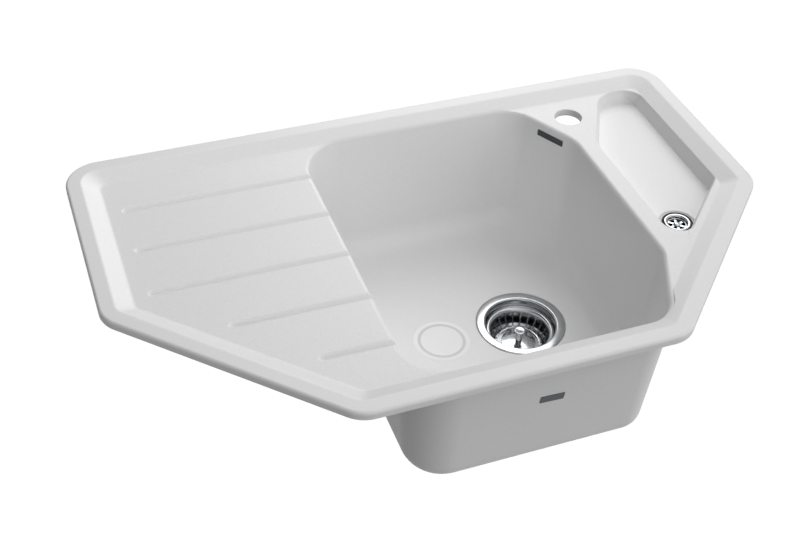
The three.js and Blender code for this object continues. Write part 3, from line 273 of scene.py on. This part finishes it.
def drainer_line(x0, y, x1):
    """The body of one channel along X, to be cut away."""
    half = LINE_WIDTH / 2
    scoop = [x0 + half * (1 - math.cos(a)) for a in np.linspace(SCOOP_START, math.pi / 2, 8)]
    rings = []
    for x in [*scoop, *np.linspace(x0 + half, x1, 7)[1:]]:
        opened = math.sqrt(max(1 - (1 - min((x - x0) / half, 1)) ** 2, 0))
        lowest = LOWEST_AT_START + (LOWEST_AT_BOWL - LOWEST_AT_START) * (x - x0) / (x1 - x0)
        across = np.concatenate([np.linspace(-1, lowest, 8), np.linspace(lowest, 1, 8)[1:]])
        drop = np.where(across < lowest, (across + 1) / (lowest + 1), (1 - across) / (1 - lowest))
        drop = drop**2 * (3 - 2 * drop)
        section = [(x, y + half * opened * k, DECK - LINE_DEPTH * opened * d) for k, d in zip(across, drop)]
        rings.append(np.array([*section, (x, section[-1][1], DECK + 1), (x, section[0][1], DECK + 1)]))
    return skinned("drainer_line", rings)


channels = [drainer_line(x, y, BOWL[0][0]) for x, y in LINE_STARTS]
worked(basin, add=[bowl_shell, tray_shell], cut=[hollow, *channels])
smoothed(worked(basin, cut=[bowl, tray, *holes]))


def linear(hex_colour):
    """An sRGB hex colour as linear RGBA."""
    parts = [int(hex_colour[i : i + 2], 16) / 255 for i in (1, 3, 5)]
    return (*(p / 12.92 if p <= 0.04045 else ((p + 0.055) / 1.055) ** 2.4 for p in parts), 1)


def add_node(material, kind, settings=None, **links):
    """A node with its settings; its inputs, by name or as i and a number, are linked or set to values."""
    node = material.node_tree.nodes.new(kind)
    for key, value in (settings or {}).items():
        setattr(node, key, value)
    for key, value in links.items():
        numbered = key[0] == "i" and key[1:].isdigit()
        socket = node.inputs[int(key[1:]) if numbered else key.replace("_", " ")]
        if isinstance(value, bpy.types.NodeSocket):
            material.node_tree.links.new(value, socket)
        else:
            socket.default_value = value
    return node


def new_material(name, **surface):
    """A material whose Principled surface has these values."""
    material = bpy.data.materials.new(name)
    material.use_nodes = True
    shader = material.node_tree.nodes["Principled BSDF"]
    for key, value in surface.items():
        shader.inputs[key.replace("_", " ")].default_value = value
    return material, shader


# Quartz composite, pressed: pale sand in white resin, almost even to the eye. Its grains of 0.3 to 0.8 mm show
# as very faint specks 0.6 mm wide and 1.1 mm apart. The mould's texture, drawn coarser than it is, at 1.4 mm,
# gives a soft sheen.
composite, shader = new_material("quartz_composite_pressed", Roughness=0.42, IOR=1.5)
place = add_node(composite, "ShaderNodeTexCoord").outputs["Object"]
sand = add_node(composite, "ShaderNodeTexNoise", i0=place, Scale=1100.0, Detail=2.0)
tone = add_node(composite, "ShaderNodeValToRGB", i0=sand.outputs["Fac"])
for stop, position, colour in zip(tone.color_ramp.elements, (0.35, 0.65), ("#eaeaea", "#f2f2f2")):
    stop.position, stop.color = position, linear(colour)
grains = add_node(composite, "ShaderNodeTexVoronoi", i0=place, Scale=900.0)
near = grains.outputs["Distance"]
speck = add_node(composite, "ShaderNodeMapRange", i0=near, i1=0.0, i2=0.28, i3=1.0, i4=0.0)
speckled = add_node(
    composite, "ShaderNodeMix", {"data_type": "RGBA"},
    i0=speck.outputs[0], i6=tone.outputs["Color"], i7=linear("#dcdcdc"),
)
composite.node_tree.links.new(speckled.outputs[2], shader.inputs["Base Color"])
skin = add_node(composite, "ShaderNodeTexNoise", i0=place, Scale=700.0, Detail=3.0)
relief = add_node(composite, "ShaderNodeBump", Strength=0.25, Distance=0.00008, Height=skin.outputs["Fac"])
composite.node_tree.links.new(relief.outputs[0], shader.inputs["Normal"])
basin.data.materials.append(composite)
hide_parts("basin")
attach(basin, "sink")

# ---- Bare plates and disc ----
# Two thin dark plates of anodised aluminium foil, glued to the bowl's inner and outer wall, and a round pale
# disc of paper that lies on the bowl's floor. All three are plain; the disc has one pale grey band.

# Anodised aluminium: a dark satin grey, with faint streaks of the rolling 0.4 mm apart.
anodised, shader = new_material("aluminium_anodised_dark", Metallic=0.6, Base_Color=linear("#4d5053"))
place = add_node(anodised, "ShaderNodeTexCoord").outputs["Object"]
stretch = add_node(anodised, "ShaderNodeMapping", Vector=place, Scale=(60.0, 60.0, 2400.0))
strokes = add_node(anodised, "ShaderNodeTexNoise", Vector=stretch.outputs[0], Scale=1.0, Detail=2.0)
sheen = add_node(anodised, "ShaderNodeMapRange", i0=strokes.outputs["Fac"], i3=0.35, i4=0.5)
anodised.node_tree.links.new(sheen.outputs[0], shader.inputs["Roughness"])
PLATE_THICKNESS, PLATE_SUNK, PLATE_CORNER, PLATE_EDGE = 0.5, 0.4, 1.2, 0.15


def plate(name, centre, along, up, width, height):
    """A thin plate: its centre on the wall, its long direction and its upward direction."""
    along, up = np.array(along, float), np.array(up, float)
    along /= np.linalg.norm(along)
    up -= along * (up @ along)
    up /= np.linalg.norm(up)
    out = np.cross(along, up)
    w, h = width / 2, height / 2
    outline = ring([(-w, -h), (w, -h), (w, h), (-w, h)], [PLATE_CORNER] * 4, steps=6)[:, :2]
    levels = []
    for inwards, lift in ((0, -PLATE_SUNK), (0, PLATE_THICKNESS - PLATE_EDGE), (PLATE_EDGE, PLATE_THICKNESS)):
        flat = outline * np.array([(w - inwards) / w, (h - inwards) / h])
        levels.append(np.array(centre) + flat[:, :1] * along + flat[:, 1:] * up + out * lift)
    piece = skinned(name, levels)
    piece.data.materials.append(anodised)
    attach(piece, "sink")


# The inner plate is on the slanting back wall, which leans outwards a little.
WALL_LEAN = 0.066
wall_out = np.array([0.8829, 0.4695, 0])
plate("plate_inner", (209, -92.1, -13.2), (0.4695, -0.8829, 0), WALL_LEAN * wall_out + (0, 0, 1), 40, 8.6)
plate("plate_outer", (46, -459.1, -72.2), (1, 0, -0.05), (0, -0.08, 1), 29, 10.4)

# Matt paper: whiter than the sink, without gloss. The band is drawn by the distance from the disc's centre.
DISC, DISC_R, DISC_THICKNESS, DISC_SUNK = (7.5, -246.5), 35, 0.2, 0.3
paper, shader = new_material("paper_matt", Roughness=0.6)
place = add_node(paper, "ShaderNodeTexCoord").outputs["Object"]
middle = (DISC[0] / 1000, DISC[1] / 1000, 0.0)
offset = add_node(paper, "ShaderNodeVectorMath", {"operation": "SUBTRACT"}, i0=place, i1=middle)
level = add_node(
    paper, "ShaderNodeVectorMath", {"operation": "MULTIPLY"},
    i0=offset.outputs[0], i1=(1.0, 1.0, 0.0),
)
reach = add_node(paper, "ShaderNodeVectorMath", {"operation": "LENGTH"}, i0=level.outputs[0])
reach = add_node(paper, "ShaderNodeMapRange", i0=reach.outputs["Value"], i1=0.0, i2=DISC_R / 1000)
band = add_node(paper, "ShaderNodeValToRGB", i0=reach.outputs[0])
PAPER_WHITE, BAND_GREY = linear("#fbfbfb"), linear("#dfdfde")
stops = band.color_ramp.elements
stops[0].position, stops[0].color = 0.73, PAPER_WHITE
stops[1].position, stops[1].color = 0.76, BAND_GREY
stops.new(0.84).color = BAND_GREY
stops.new(0.87).color = PAPER_WHITE
paper.node_tree.links.new(band.outputs["Color"], shader.inputs["Base Color"])
disc_rings = [(radius, -DISC_SUNK) for radius in (0.5, 7, 14, 21, 28, DISC_R - 0.1)]
disc_rings += [(radius, DISC_THICKNESS) for radius in (DISC_R, 28, 21, 14, 7, 0.5)]
disc = skinned("bare_disc", [circle(DISC, radius, lift) for radius, lift in disc_rings])
# The disc is flat at first; each of its points is then let down on the bowl's floor, from 50 mm below the deck.
ABOVE_FLOOR = -0.05
ground = mathutils.bvhtree.BVHTree.FromObject(basin, bpy.context.evaluated_depsgraph_get())
for vertex in disc.data.vertices:
    above = mathutils.Vector((vertex.co.x, vertex.co.y, ABOVE_FLOOR))
    vertex.co.z += ground.ray_cast(above, (0, 0, -1))[0].z
smoothed(disc)
disc.data.materials.append(paper)
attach(disc, "sink")

# ---- Main waste: cup ----
# Pressed from 1 mm stainless sheet and polished, with a rolled flange that the centre bolt pulls down on its
# gasket. Profiles here and below are pairs of radius and height in millimetres, the height from the worktop.

# Polished stainless: it mirrors the pale bowl, so it reads as white with dark bands where the cup's own walls
# show. Hand polish leaves a slight haze in patches of about 11 mm.
polished, shader = new_material("stainless_polished", Metallic=1.0, Base_Color=linear("#c6c8ca"))
place = add_node(polished, "ShaderNodeTexCoord").outputs["Object"]
haze = add_node(polished, "ShaderNodeTexNoise", Vector=place, Scale=90.0, Detail=4.0)
haze = add_node(polished, "ShaderNodeMapRange", i0=haze.outputs["Fac"], i3=0.12, i4=0.24)
polished.node_tree.links.new(haze.outputs[0], shader.inputs["Roughness"])


def rounded(profile, cut, steps=4):
    """A closed profile whose corners are rounded by a cut, or less where their edges are short."""
    profile = np.array(profile, float)
    points = []
    for i, here in enumerate(profile):
        before, after = profile[i - 1] - here, profile[(i + 1) % len(profile)] - here
        length = min(np.linalg.norm(before), np.linalg.norm(after))
        if here[0] == 0 or length < 0.02:
            points.append(here)
            continue
        reach = min(cut, 0.45 * length)
        start = here + before / np.linalg.norm(before) * reach
        end = here + after / np.linalg.norm(after) * reach
        for t in np.linspace(0, 1, steps):
            points.append(start * (1 - t) ** 2 + 2 * here * t * (1 - t) + end * t**2)
    return points


def turned(name, profile, centre=(0, 0), steps=128, cut=0.6):
    """A body turned about an upright line; a profile that doesn't touch the line makes a ring."""
    profile = rounded(profile, cut)
    hoop = min(r for r, _ in profile) > 0
    return skinned(name, [circle(centre, r, z, steps) for r, z in profile], closed=hoop)


def moved(piece, degrees=0.0, shift=(0, 0, 0), tilt=0.0):
    """The mesh tipped about Y, then turned about Z, then shifted by millimetres."""
    turn = mathutils.Matrix.Rotation(math.radians(degrees), 4, "Z")
    tip = mathutils.Matrix.Rotation(math.radians(tilt), 4, "Y")
    piece.data.transform(mathutils.Matrix.Translation(np.array(shift) * 0.001) @ turn @ tip)
    return piece


def dressed(piece, material, node, body, angle=32):
    """The piece finished: smoothed, in its material, in place of its CAD solid and riding with its body."""
    smoothed(piece, angle)
    piece.data.materials.append(material)
    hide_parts(node)
    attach(piece, body)


FLANGE_TOP = -173.2
cup = turned("waste_cup", [
    (4.3, -220.7), (22, -220.7), (24, -218.7), (25, -212.7), (36.5, -212.7), (39.5, -209.7), (39.5, -186.2),
    (42.6, -186.2), (44, -184.6), (44.3, -176), (45, -174), (46.6, FLANGE_TOP), (50.5, FLANGE_TOP),
    (53.6, -173.4), (55.6, -173.8), (56.5, -174.6), (56.5, -175), (55.6, -174.9), (52.5, -174.2), (47, -174.2),
    (45.4, -175.6), (45, -185.2), (43.4, -187.2), (40.5, -187.2), (40.5, -210.7), (37.1, -213.7),
    (26, -213.7), (25, -219.3), (22.4, -221.7), (4.3, -221.7),
], steps=160, cut=0.9)
PORTS, PORT_R, PORT_CIRCLE_R = 6, 5.2, 15.7
ports = []
for i in range(PORTS):
    turn = (i + 0.5) * 2 * math.pi / PORTS
    centre = (PORT_CIRCLE_R * math.cos(turn), PORT_CIRCLE_R * math.sin(turn))
    ports.append(bore("port", centre, [(PORT_R, -223), (PORT_R, -219)], 32))
moved(worked(cup, cut=ports), shift=(*WASTE, 0))
dressed(cup, polished, "waste_flange", "sink")

# ---- Basket ----
# Deep-drawn stainless strainer with a rolled rim and tall punched slots; a plate is spot-welded to its floor.
# The plated stem with its knob lifts the whole basket and its rubber plug out of the cup.
BASKET_RIM, BASKET_FLOOR, BASKET_TURN = -185.9, -207.4, -14.2
cage = turned("basket_cage_fine", [
    (3.3, BASKET_FLOOR), (28, BASKET_FLOOR), (30, -206.4), (38, -187.4), (39.5, BASKET_RIM), (41.5, BASKET_RIM),
    (42.5, -185.1), (41.7, -184.2), (40, -184), (38.4, -184.7), (36.8, -186.5), (28.6, -205.6), (27, -206.4),
    (3.3, -206.4),
], steps=168, cut=0.8)
SLOTS, SLOT_HALF, SLOT_LOW, SLOT_HIGH, SLOT_CORNER = 21, 4.2, -206.2, -188.4, 1.6
slot_box = [(-SLOT_HALF, SLOT_LOW), (SLOT_HALF, SLOT_LOW), (SLOT_HALF, SLOT_HIGH), (-SLOT_HALF, SLOT_HIGH)]
slot_shape = ring(slot_box, [SLOT_CORNER] * 4, steps=6, between=0)
# Each slot is cut by a wedge that widens from inside the cage to outside it.
slots = []
for i in range(SLOTS):
    ends = []
    for reach, widening in ((22, 0.72), (46, 1.25)):
        across, height = slot_shape[:, 0] * widening, slot_shape[:, 1]
        ends.append(np.column_stack([np.full(len(slot_shape), reach), across, height]))
    slots.append(moved(skinned("slot", ends), 360 / SLOTS * i))
moved(worked(cage, cut=slots), BASKET_TURN, (*WASTE, 0))
dressed(cage, polished, "basket_cage", "basket", 28)

dish = turned("basket_plate", [
    (3.3, -204.1), (13.2, -204.85), (20, -206.1), (22, -206.1), (22, -205.3), (13.2, -203.85), (3.3, -203.1),
], WASTE, cut=2.5)
dressed(dish, polished, "basket_dish", "basket")

# Chrome plate: brighter and sharper than the polished sheet, with an unevenness of about 6 mm.
plated, shader = new_material("chrome_plated", Metallic=1.0, Base_Color=linear("#d2d4d7"))
place = add_node(plated, "ShaderNodeTexCoord").outputs["Object"]
film = add_node(plated, "ShaderNodeTexNoise", Vector=place, Scale=160.0, Detail=2.0)
film = add_node(plated, "ShaderNodeMapRange", i0=film.outputs["Fac"], i3=0.06, i4=0.14)
plated.node_tree.links.new(film.outputs[0], shader.inputs["Roughness"])
RIDGE_START, RIDGE_PITCH = -201.9, 2.4
ridges = [(r, RIDGE_START + RIDGE_PITCH * i + up) for i in range(4) for r, up in ((3, 0), (4.4, 1.2))]
stem = turned("basket_stem_ridged", [
    (0, -212.8), (2, -212.8), (2, -210.7), (3, -210.7), *ridges, (3, -191.6), (2, -191.6), (2, -188.6),
    (0, -188.6),
], WASTE, 64, cut=0.5)
dressed(stem, plated, "basket_stem", "basket")
knob = turned("basket_knob_flared", [
    (2.3, -191.3), (3.6, -191.3), (5, -189.3), (7, -187.6), (7, -186.9), (6, -186.3), (0, -186.6), (0, -188.3),
    (2.3, -188.3),
], WASTE, 96, cut=0.9)
dressed(knob, plated, "basket_knob", "basket")

# ---- Grid waste ----
# Small grid of the half-bowl, cast and chrome-plated: a bright ring, six spokes and a boss that one screw with
# a cross recess holds down. It is bedded on a black rubber ring.

# Moulded rubber: black and dull, with pores drawn at 0.7 mm, coarser than they are.
moulded, shader = new_material("rubber_moulded", Roughness=0.7, Base_Color=linear("#1b1b1d"))
place = add_node(moulded, "ShaderNodeTexCoord").outputs["Object"]
pores = add_node(moulded, "ShaderNodeTexNoise", Vector=place, Scale=1500.0, Detail=2.0)
pores = add_node(moulded, "ShaderNodeBump", Strength=0.3, Distance=0.0001, Height=pores.outputs["Fac"])
moulded.node_tree.links.new(pores.outputs[0], shader.inputs["Normal"])


def prism(name, outline, low, high):
    """A block with a plan outline of points between two heights."""
    outline = np.array(outline, float)
    return skinned(name, [np.column_stack([outline, np.full(len(outline), z)]) for z in (low, high)])


def cross_recess(reach, half, low, high):
    """Two bars that cross, to cut away from a screw's head."""
    bar = [(-reach, -half), (reach, -half), (reach, half), (-reach, half)]
    return [moved(prism("bar", bar, low, high), turn) for turn in (0, 90)]


# Half of a spoke's width is given as an angle, at the ring and at the boss.
SPOKES, OPENING_R, BOSS_R, GRID_TURN = 6, 10.5, 5, 165.8
SPOKE_AT_RING, SPOKE_AT_BOSS = 0.115, 0.243
grid = turned("grid_ring", [
    (2.8, -23.5), (12.5, -23.5), (13.2, -19.5), (16, -19.5), (16, -18.7), (14.8, -18.1), (13.1, -18.3),
    (11.9, -19.5), (11.5, -22.5), (2.8, -22.5),
], cut=0.7)
openings = []
for i in range(SPOKES):
    middle, half = i * 2 * math.pi / SPOKES, math.pi / SPOKES
    outer = np.linspace(middle - half + SPOKE_AT_RING, middle + half - SPOKE_AT_RING, 12)
    inner = np.linspace(middle + half - SPOKE_AT_BOSS, middle - half + SPOKE_AT_BOSS, 6)
    sector = [(OPENING_R * math.cos(a), OPENING_R * math.sin(a)) for a in outer]
    sector += [(BOSS_R * math.cos(a), BOSS_R * math.sin(a)) for a in inner]
    openings.append(prism("opening", sector, -24.5, -21.5))
moved(worked(grid, cut=openings), GRID_TURN, (*DRAIN, 0))
dressed(grid, plated, "tray_grid", "sink")
collar = turned("grid_collar", [
    (14.5, -20.8), (18.7, -20.8), (18.7, -18.9), (17.9, -18.5), (16.3, -18.5), (16.3, -19.8), (14.5, -19.8),
], DRAIN)
dressed(collar, moulded, "grid_seal", "sink")
screw = turned("grid_screw_fine", [
    (0, -42.5), (2.5, -42.5), (2.5, -22.2), (4.4, -22.2), (4.4, -21.3), (2.8, -20.2), (0, -19.9),
], steps=48)
SCREW_TURN = 20
moved(worked(screw, cut=cross_recess(3.4, 0.5, -21, -18)), SCREW_TURN, (*DRAIN, 0))
dressed(screw, plated, "grid_screw", "sink")

# ---- Waste body and hose connection ----
# Injection-moulded polypropylene funnel below the bowl, with an inch and a half thread on its outlet, and a cup
# below the half-bowl. A union nut holds the barbed tail that takes the half-bowl's hose.

# Moulded polypropylene: dark grey with a soft shine; the mould's sparked texture is drawn at 1.1 mm, coarser
# than it is.
polypropylene, shader = new_material("polypropylene_moulded", Roughness=0.42, Base_Color=linear("#3a3d41"))
place = add_node(polypropylene, "ShaderNodeTexCoord").outputs["Object"]
spark = add_node(polypropylene, "ShaderNodeTexNoise", Vector=place, Scale=900.0, Detail=2.0)
spark = add_node(polypropylene, "ShaderNodeBump", Strength=0.2, Distance=0.0001, Height=spark.outputs["Fac"])
polypropylene.node_tree.links.new(spark.outputs[0], shader.inputs["Normal"])

# The stub points from the main waste to the half-bowl's drain. What lies along it is turned upright at first,
# its heights measured from the axis of the waste, and then tipped over.
INLET = math.degrees(math.atan2(DRAIN[1] - WASTE[1], DRAIN[0] - WASTE[0]))
STUB_AXIS, TRAY_TAIL_AXIS = (*WASTE, -208), (0, 0, -45)
THREAD_START, THREAD_PITCH, STUB_THREAD_START, STUB_PITCH = -249, 2.3, 50.5, 2.1
turns = [THREAD_START - THREAD_PITCH * i for i in range(12)]
thread = [(r, z - drop) for z in turns for r, drop in ((23, 0), (24, 0.9), (24, 1.2), (23, 2.1))]
body = turned("waste_funnel", [
    (47, -186), (55, -186), (55, -189), (50.3, -190), (50, -222), (46, -228), (27, -242), (27, -246),
    (24, -246), (24, -248), *thread, (23, -278), (21, -278), (21, -242), (43, -226), (47, -222),
], cut=0.8)
moved(body, INLET, (*WASTE, 0))
ridge = ((13.2, 0), (14, 0.8), (14, 1.1), (13.2, 1.9))
stub_thread = [(r, STUB_THREAD_START + STUB_PITCH * i + along) for i in range(5) for r, along in ridge]
stub = turned("stub", [(0, 48), (14, 48), (14, 50), *stub_thread, (13.6, 61), (0, 61)], steps=96, cut=0.4)
stub_bore = bore("stub_bore", (0, 0), [(9.5, 43), (9.5, 62)])
for part in (stub, stub_bore):
    moved(part, INLET, STUB_AXIS, 90)
hub = turned("hub", [(0, -236), (8.5, -236), (8.5, -222), (0, -222)], WASTE, 64)
socket = bore("socket", WASTE, [(4.3, -247), (4.3, -233.3), (5.8, -233.2), (5.8, -221)], 48)
WEB = 3
web = [(-43.6, -227), (-22.3, -242), (-22.3, -246), (22.3, -246), (22.3, -242), (43.6, -227)]
webs = []
for turn in (30, 90, 150):
    sides = [np.array([(x, y, z) for x, z in web]) for y in (-WEB / 2, WEB / 2)]
    webs.append(moved(skinned("web", sides), turn + INLET, (*WASTE, 0)))
worked(body, add=[stub, hub, *webs], cut=[stub_bore, socket])
dressed(body, polypropylene, "waste_body", "sink")


def barbs(start):
    """The two barbs at the end of a hose tail, from where the first one stands up."""
    tooth = ((9.5, 0), (10.5, 0), (9.5, 5), (9.5, 7), (10.5, 7), (9.5, 12), (8.7, 17))
    return [(r, start + along) for r, along in tooth]


tail_profile = [(7, 64), (14, 64), (14, 66.5), (9.5, 66.5), *barbs(79.5), (7, 96.5)]
tail = turned("hose_tail", tail_profile, steps=96, cut=0.3)
dressed(moved(tail, INLET, STUB_AXIS, 90), polypropylene, "inlet_tail", "sink")
nut_profile = [(0, 55.3), (18.2, 55.3), (19.5, 56.4), (19.5, 68.2), (18.2, 69.3), (0, 69.3)]
nut = turned("union_nut", nut_profile, steps=6, cut=0.2)
nut_bore = bore("nut_bore", (0, 0), [(14.3, 54), (14.3, 66.8), (10.8, 66.81), (10.8, 70)])
moved(worked(nut, cut=[nut_bore]), INLET, STUB_AXIS, 90)
dressed(nut, polypropylene, "inlet_nut", "sink", 20)

tray_cup = turned("tray_cup", [
    (0, -57.5), (18, -57.5), (21, -54.5), (21, -34.5), (25, -34.5), (25, -31.5), (18.5, -31.5), (18.5, -55),
    (0, -55),
], cut=0.8)
tray_hub = turned("tray_hub", [(0, -44.5), (6.5, -44.5), (6.5, -34.5), (0, -34.5)], steps=64)
tray_web = [(-19.5, -1), (19.5, -1), (19.5, 1), (-19.5, 1)]
tray_webs = [moved(prism("web", tray_web, -44.5, -36.5), turn + INLET) for turn in (45, -45)]
tray_tail = turned("tray_tail", [(0, 18.8), (9.5, 18.8), *barbs(34), (0, 51)], steps=96, cut=0.3)
tray_bore = bore("tray_bore", (0, 0), [(7, 15.5), (7, 52)])
for part in (tray_tail, tray_bore):
    moved(part, INLET + 180, TRAY_TAIL_AXIS, 90)
tray_socket = bore("tray_socket", (0, 0), [(4.3, -42.5), (4.3, -33)], 48)
worked(tray_cup, add=[tray_tail, tray_hub, *tray_webs], cut=[tray_bore, tray_socket])
dressed(moved(tray_cup, shift=(*DRAIN, 0)), polypropylene, "tray_body", "sink")

# ---- Seals and fastenings ----
# What clamps and seals the two wastes: black rubber rings, a steel bolt with its washer, and brass threads
# pressed into the plastic hubs. All of them lie hidden, and only the basket's plug shows when it is lifted.
for name, node, inside, outside, low, high, centre in (
    ("flange_gasket_fine", "flange_gasket", 47.4, 52.5, -175.5, -174.5, WASTE),
    ("body_washer_fine", "body_washer", 46.5, 55, -185.7, -183.3, WASTE),
    ("tray_washer_fine", "tray_washer", 15.5, 25, -31.2, -28.8, DRAIN),
):
    washer = turned(name, [(inside, low), (outside, low), (outside, high), (inside, high)], centre, cut=0.35)
    dressed(washer, moulded, node, "sink")
inlet_seal = turned("inlet_seal_fine", [(9.5, 61.3), (14, 61.3), (14, 63.7), (9.5, 63.7)], steps=96, cut=0.35)
dressed(moved(inlet_seal, INLET, STUB_AXIS, 90), moulded, "inlet_seal", "sink")
plug = turned("basket_plug", [
    (3.3, -210.4), (8, -210.4), (9, -214.9), (21.5, -214.9), (23.5, -212.4), (32, -212.4), (32, -207.7),
    (3.3, -207.7),
], WASTE, cut=0.9)
dressed(plug, moulded, "basket_seal", "basket")
clip = turned("stem_clip", [(2.3, -212), (7, -212), (7, -211), (2.3, -211)], WASTE, 64, cut=0.25)
dressed(clip, polished, "basket_clip", "basket")
under_head = [(4.3, -220.4), (9.5, -220.4), (9.5, -219.4), (4.3, -219.4)]
bolt_washer = turned("bolt_washer_fine", under_head, WASTE, 96, cut=0.25)
dressed(bolt_washer, polished, "bolt_washer", "sink")
bolt = turned("clamp_bolt", [
    (0, -235), (3, -235), (4, -234), (4, -219.1), (8, -219.1), (8, -217.1), (6, -215.7), (0, -215.1),
], steps=96, cut=0.8)
BOLT_TURN = 30
moved(worked(bolt, cut=cross_recess(7, 0.8, -216.7, -214)), BOLT_TURN, (*WASTE, 0))
dressed(bolt, polished, "centre_bolt", "sink")

# Turned brass: warm yellow, with the tool's marks drawn every 0.45 mm, coarser than they are.
brass, shader = new_material("brass_turned", Metallic=1.0, Base_Color=linear("#b8975a"))
place = add_node(brass, "ShaderNodeTexCoord").outputs["Object"]
cuts = add_node(
    brass, "ShaderNodeTexWave", {"bands_direction": "Z"},
    Vector=place, Scale=700.0, Distortion=0.4,
)
cuts = add_node(brass, "ShaderNodeMapRange", i0=cuts.outputs["Fac"], i3=0.22, i4=0.34)
brass.node_tree.links.new(cuts.outputs[0], shader.inputs["Roughness"])
insert = turned("hub_thread", [(4.3, -233), (5.5, -233), (5.5, -223), (4.3, -223)], WASTE, 64, cut=0.2)
dressed(insert, brass, "body_insert", "sink")
tray_insert = turned("tray_thread", [(2.8, -42.2), (4, -42.2), (4, -34.5), (2.8, -34.5)], DRAIN, 64, cut=0.2)
dressed(tray_insert, brass, "tray_insert", "sink")

# ---- Studio ----
# A plain floor well below the hanging sink, a large softbox behind and to the right, and a weaker one low
# behind that reaches the slopes of the rim but not the floor of the bowl. Sizes here are in metres.
FLOOR_REACH, FLOOR_HEIGHT, FLOOR_GLOW = 40, -0.9, 0.94
signs = ((-1, -1), (1, -1), (1, 1), (-1, 1))
floor_corners = [(x * FLOOR_REACH, y * FLOOR_REACH, FLOOR_HEIGHT) for x, y in signs]
floor_mesh = bpy.data.meshes.new("floor")
floor_mesh.from_pydata(floor_corners, [], [(0, 1, 2, 3)])
floor = bpy.data.objects.new("floor", floor_mesh)
scene.collection.objects.link(floor)
# Floor paper: the camera and the metal see it glow almost white, while it throws little light on the sink.
backing, shader = new_material("floor_paper", Roughness=0.9, Base_Color=linear("#5a5a5a"))
rays = add_node(backing, "ShaderNodeLightPath").outputs
seen = rays["Is Camera Ray"]
for kind in ("Is Glossy Ray", "Is Transmission Ray"):
    seen = add_node(backing, "ShaderNodeMath", {"operation": "MAXIMUM"}, i0=seen, i1=rays[kind]).outputs[0]
glow = add_node(backing, "ShaderNodeMath", {"operation": "MULTIPLY"}, i0=seen, i1=FLOOR_GLOW)
shader.inputs["Emission Color"].default_value = (1, 1, 1, 1)
backing.node_tree.links.new(glow.outputs[0], shader.inputs["Emission Strength"])
floor_mesh.materials.append(backing)

# The room is white and brightest to the right, in front and above, and dark behind on the left.
BRIGHT_SIDE, ROOM_DARK, ROOM_BRIGHT = (0.6, -0.66, 0.45), 0.0, 1.13
world = bpy.data.worlds.new("studio")
scene.world = world
world.use_nodes = True
back = world.node_tree.nodes["Background"]
back.inputs["Color"].default_value = (1, 1, 1, 1)
aim = add_node(world, "ShaderNodeTexCoord").outputs["Generated"]
aim = add_node(world, "ShaderNodeVectorMath", {"operation": "DOT_PRODUCT"}, i0=aim, i1=BRIGHT_SIDE)
aim = aim.outputs["Value"]
side = add_node(world, "ShaderNodeMapRange", i0=aim, i1=-0.18, i2=0.95, i3=ROOM_DARK, i4=ROOM_BRIGHT)
world.node_tree.links.new(side.outputs[0], back.inputs["Strength"])


def softbox(name, place, target, width, height, watts):
    """A rectangular lamp aimed at a point, in metres."""
    lamp = bpy.data.lights.new(name, "AREA")
    lamp.shape, lamp.size, lamp.size_y, lamp.energy = "RECTANGLE", width, height, watts
    box = bpy.data.objects.new(name, lamp)
    scene.collection.objects.link(box)
    box.location = place
    box.rotation_mode = "QUATERNION"
    direction = mathutils.Vector(target) - mathutils.Vector(place)
    box.rotation_quaternion = direction.to_track_quat("-Z", "Y")


softbox("key", (0.7, 1.0, 1.3), (0.05, -0.2, 0), 1.2, 1.2, 14)
softbox("low_rear", (0.9, 2.1, 0.75), (0.1, -0.3, 0), 1.2, 0.5, 7)

# The camera's place, direction and lens come from the rim's edges and four circles: tap hole, flange, disc and
# grid.
camera = bpy.data.cameras.new("camera")
camera.lens, camera.sensor_width = 56.08, 36
camera.clip_start, camera.clip_end = 0.05, 100
view = bpy.data.objects.new("camera", camera)
scene.collection.objects.link(view)
view.location = (-0.44925, -1.2559, 0.9043)
view.rotation_euler = [math.radians(a) for a in (49.0839, -1.7410, -19.9454)]
scene.camera = view
scene.view_settings.view_transform = "Standard"
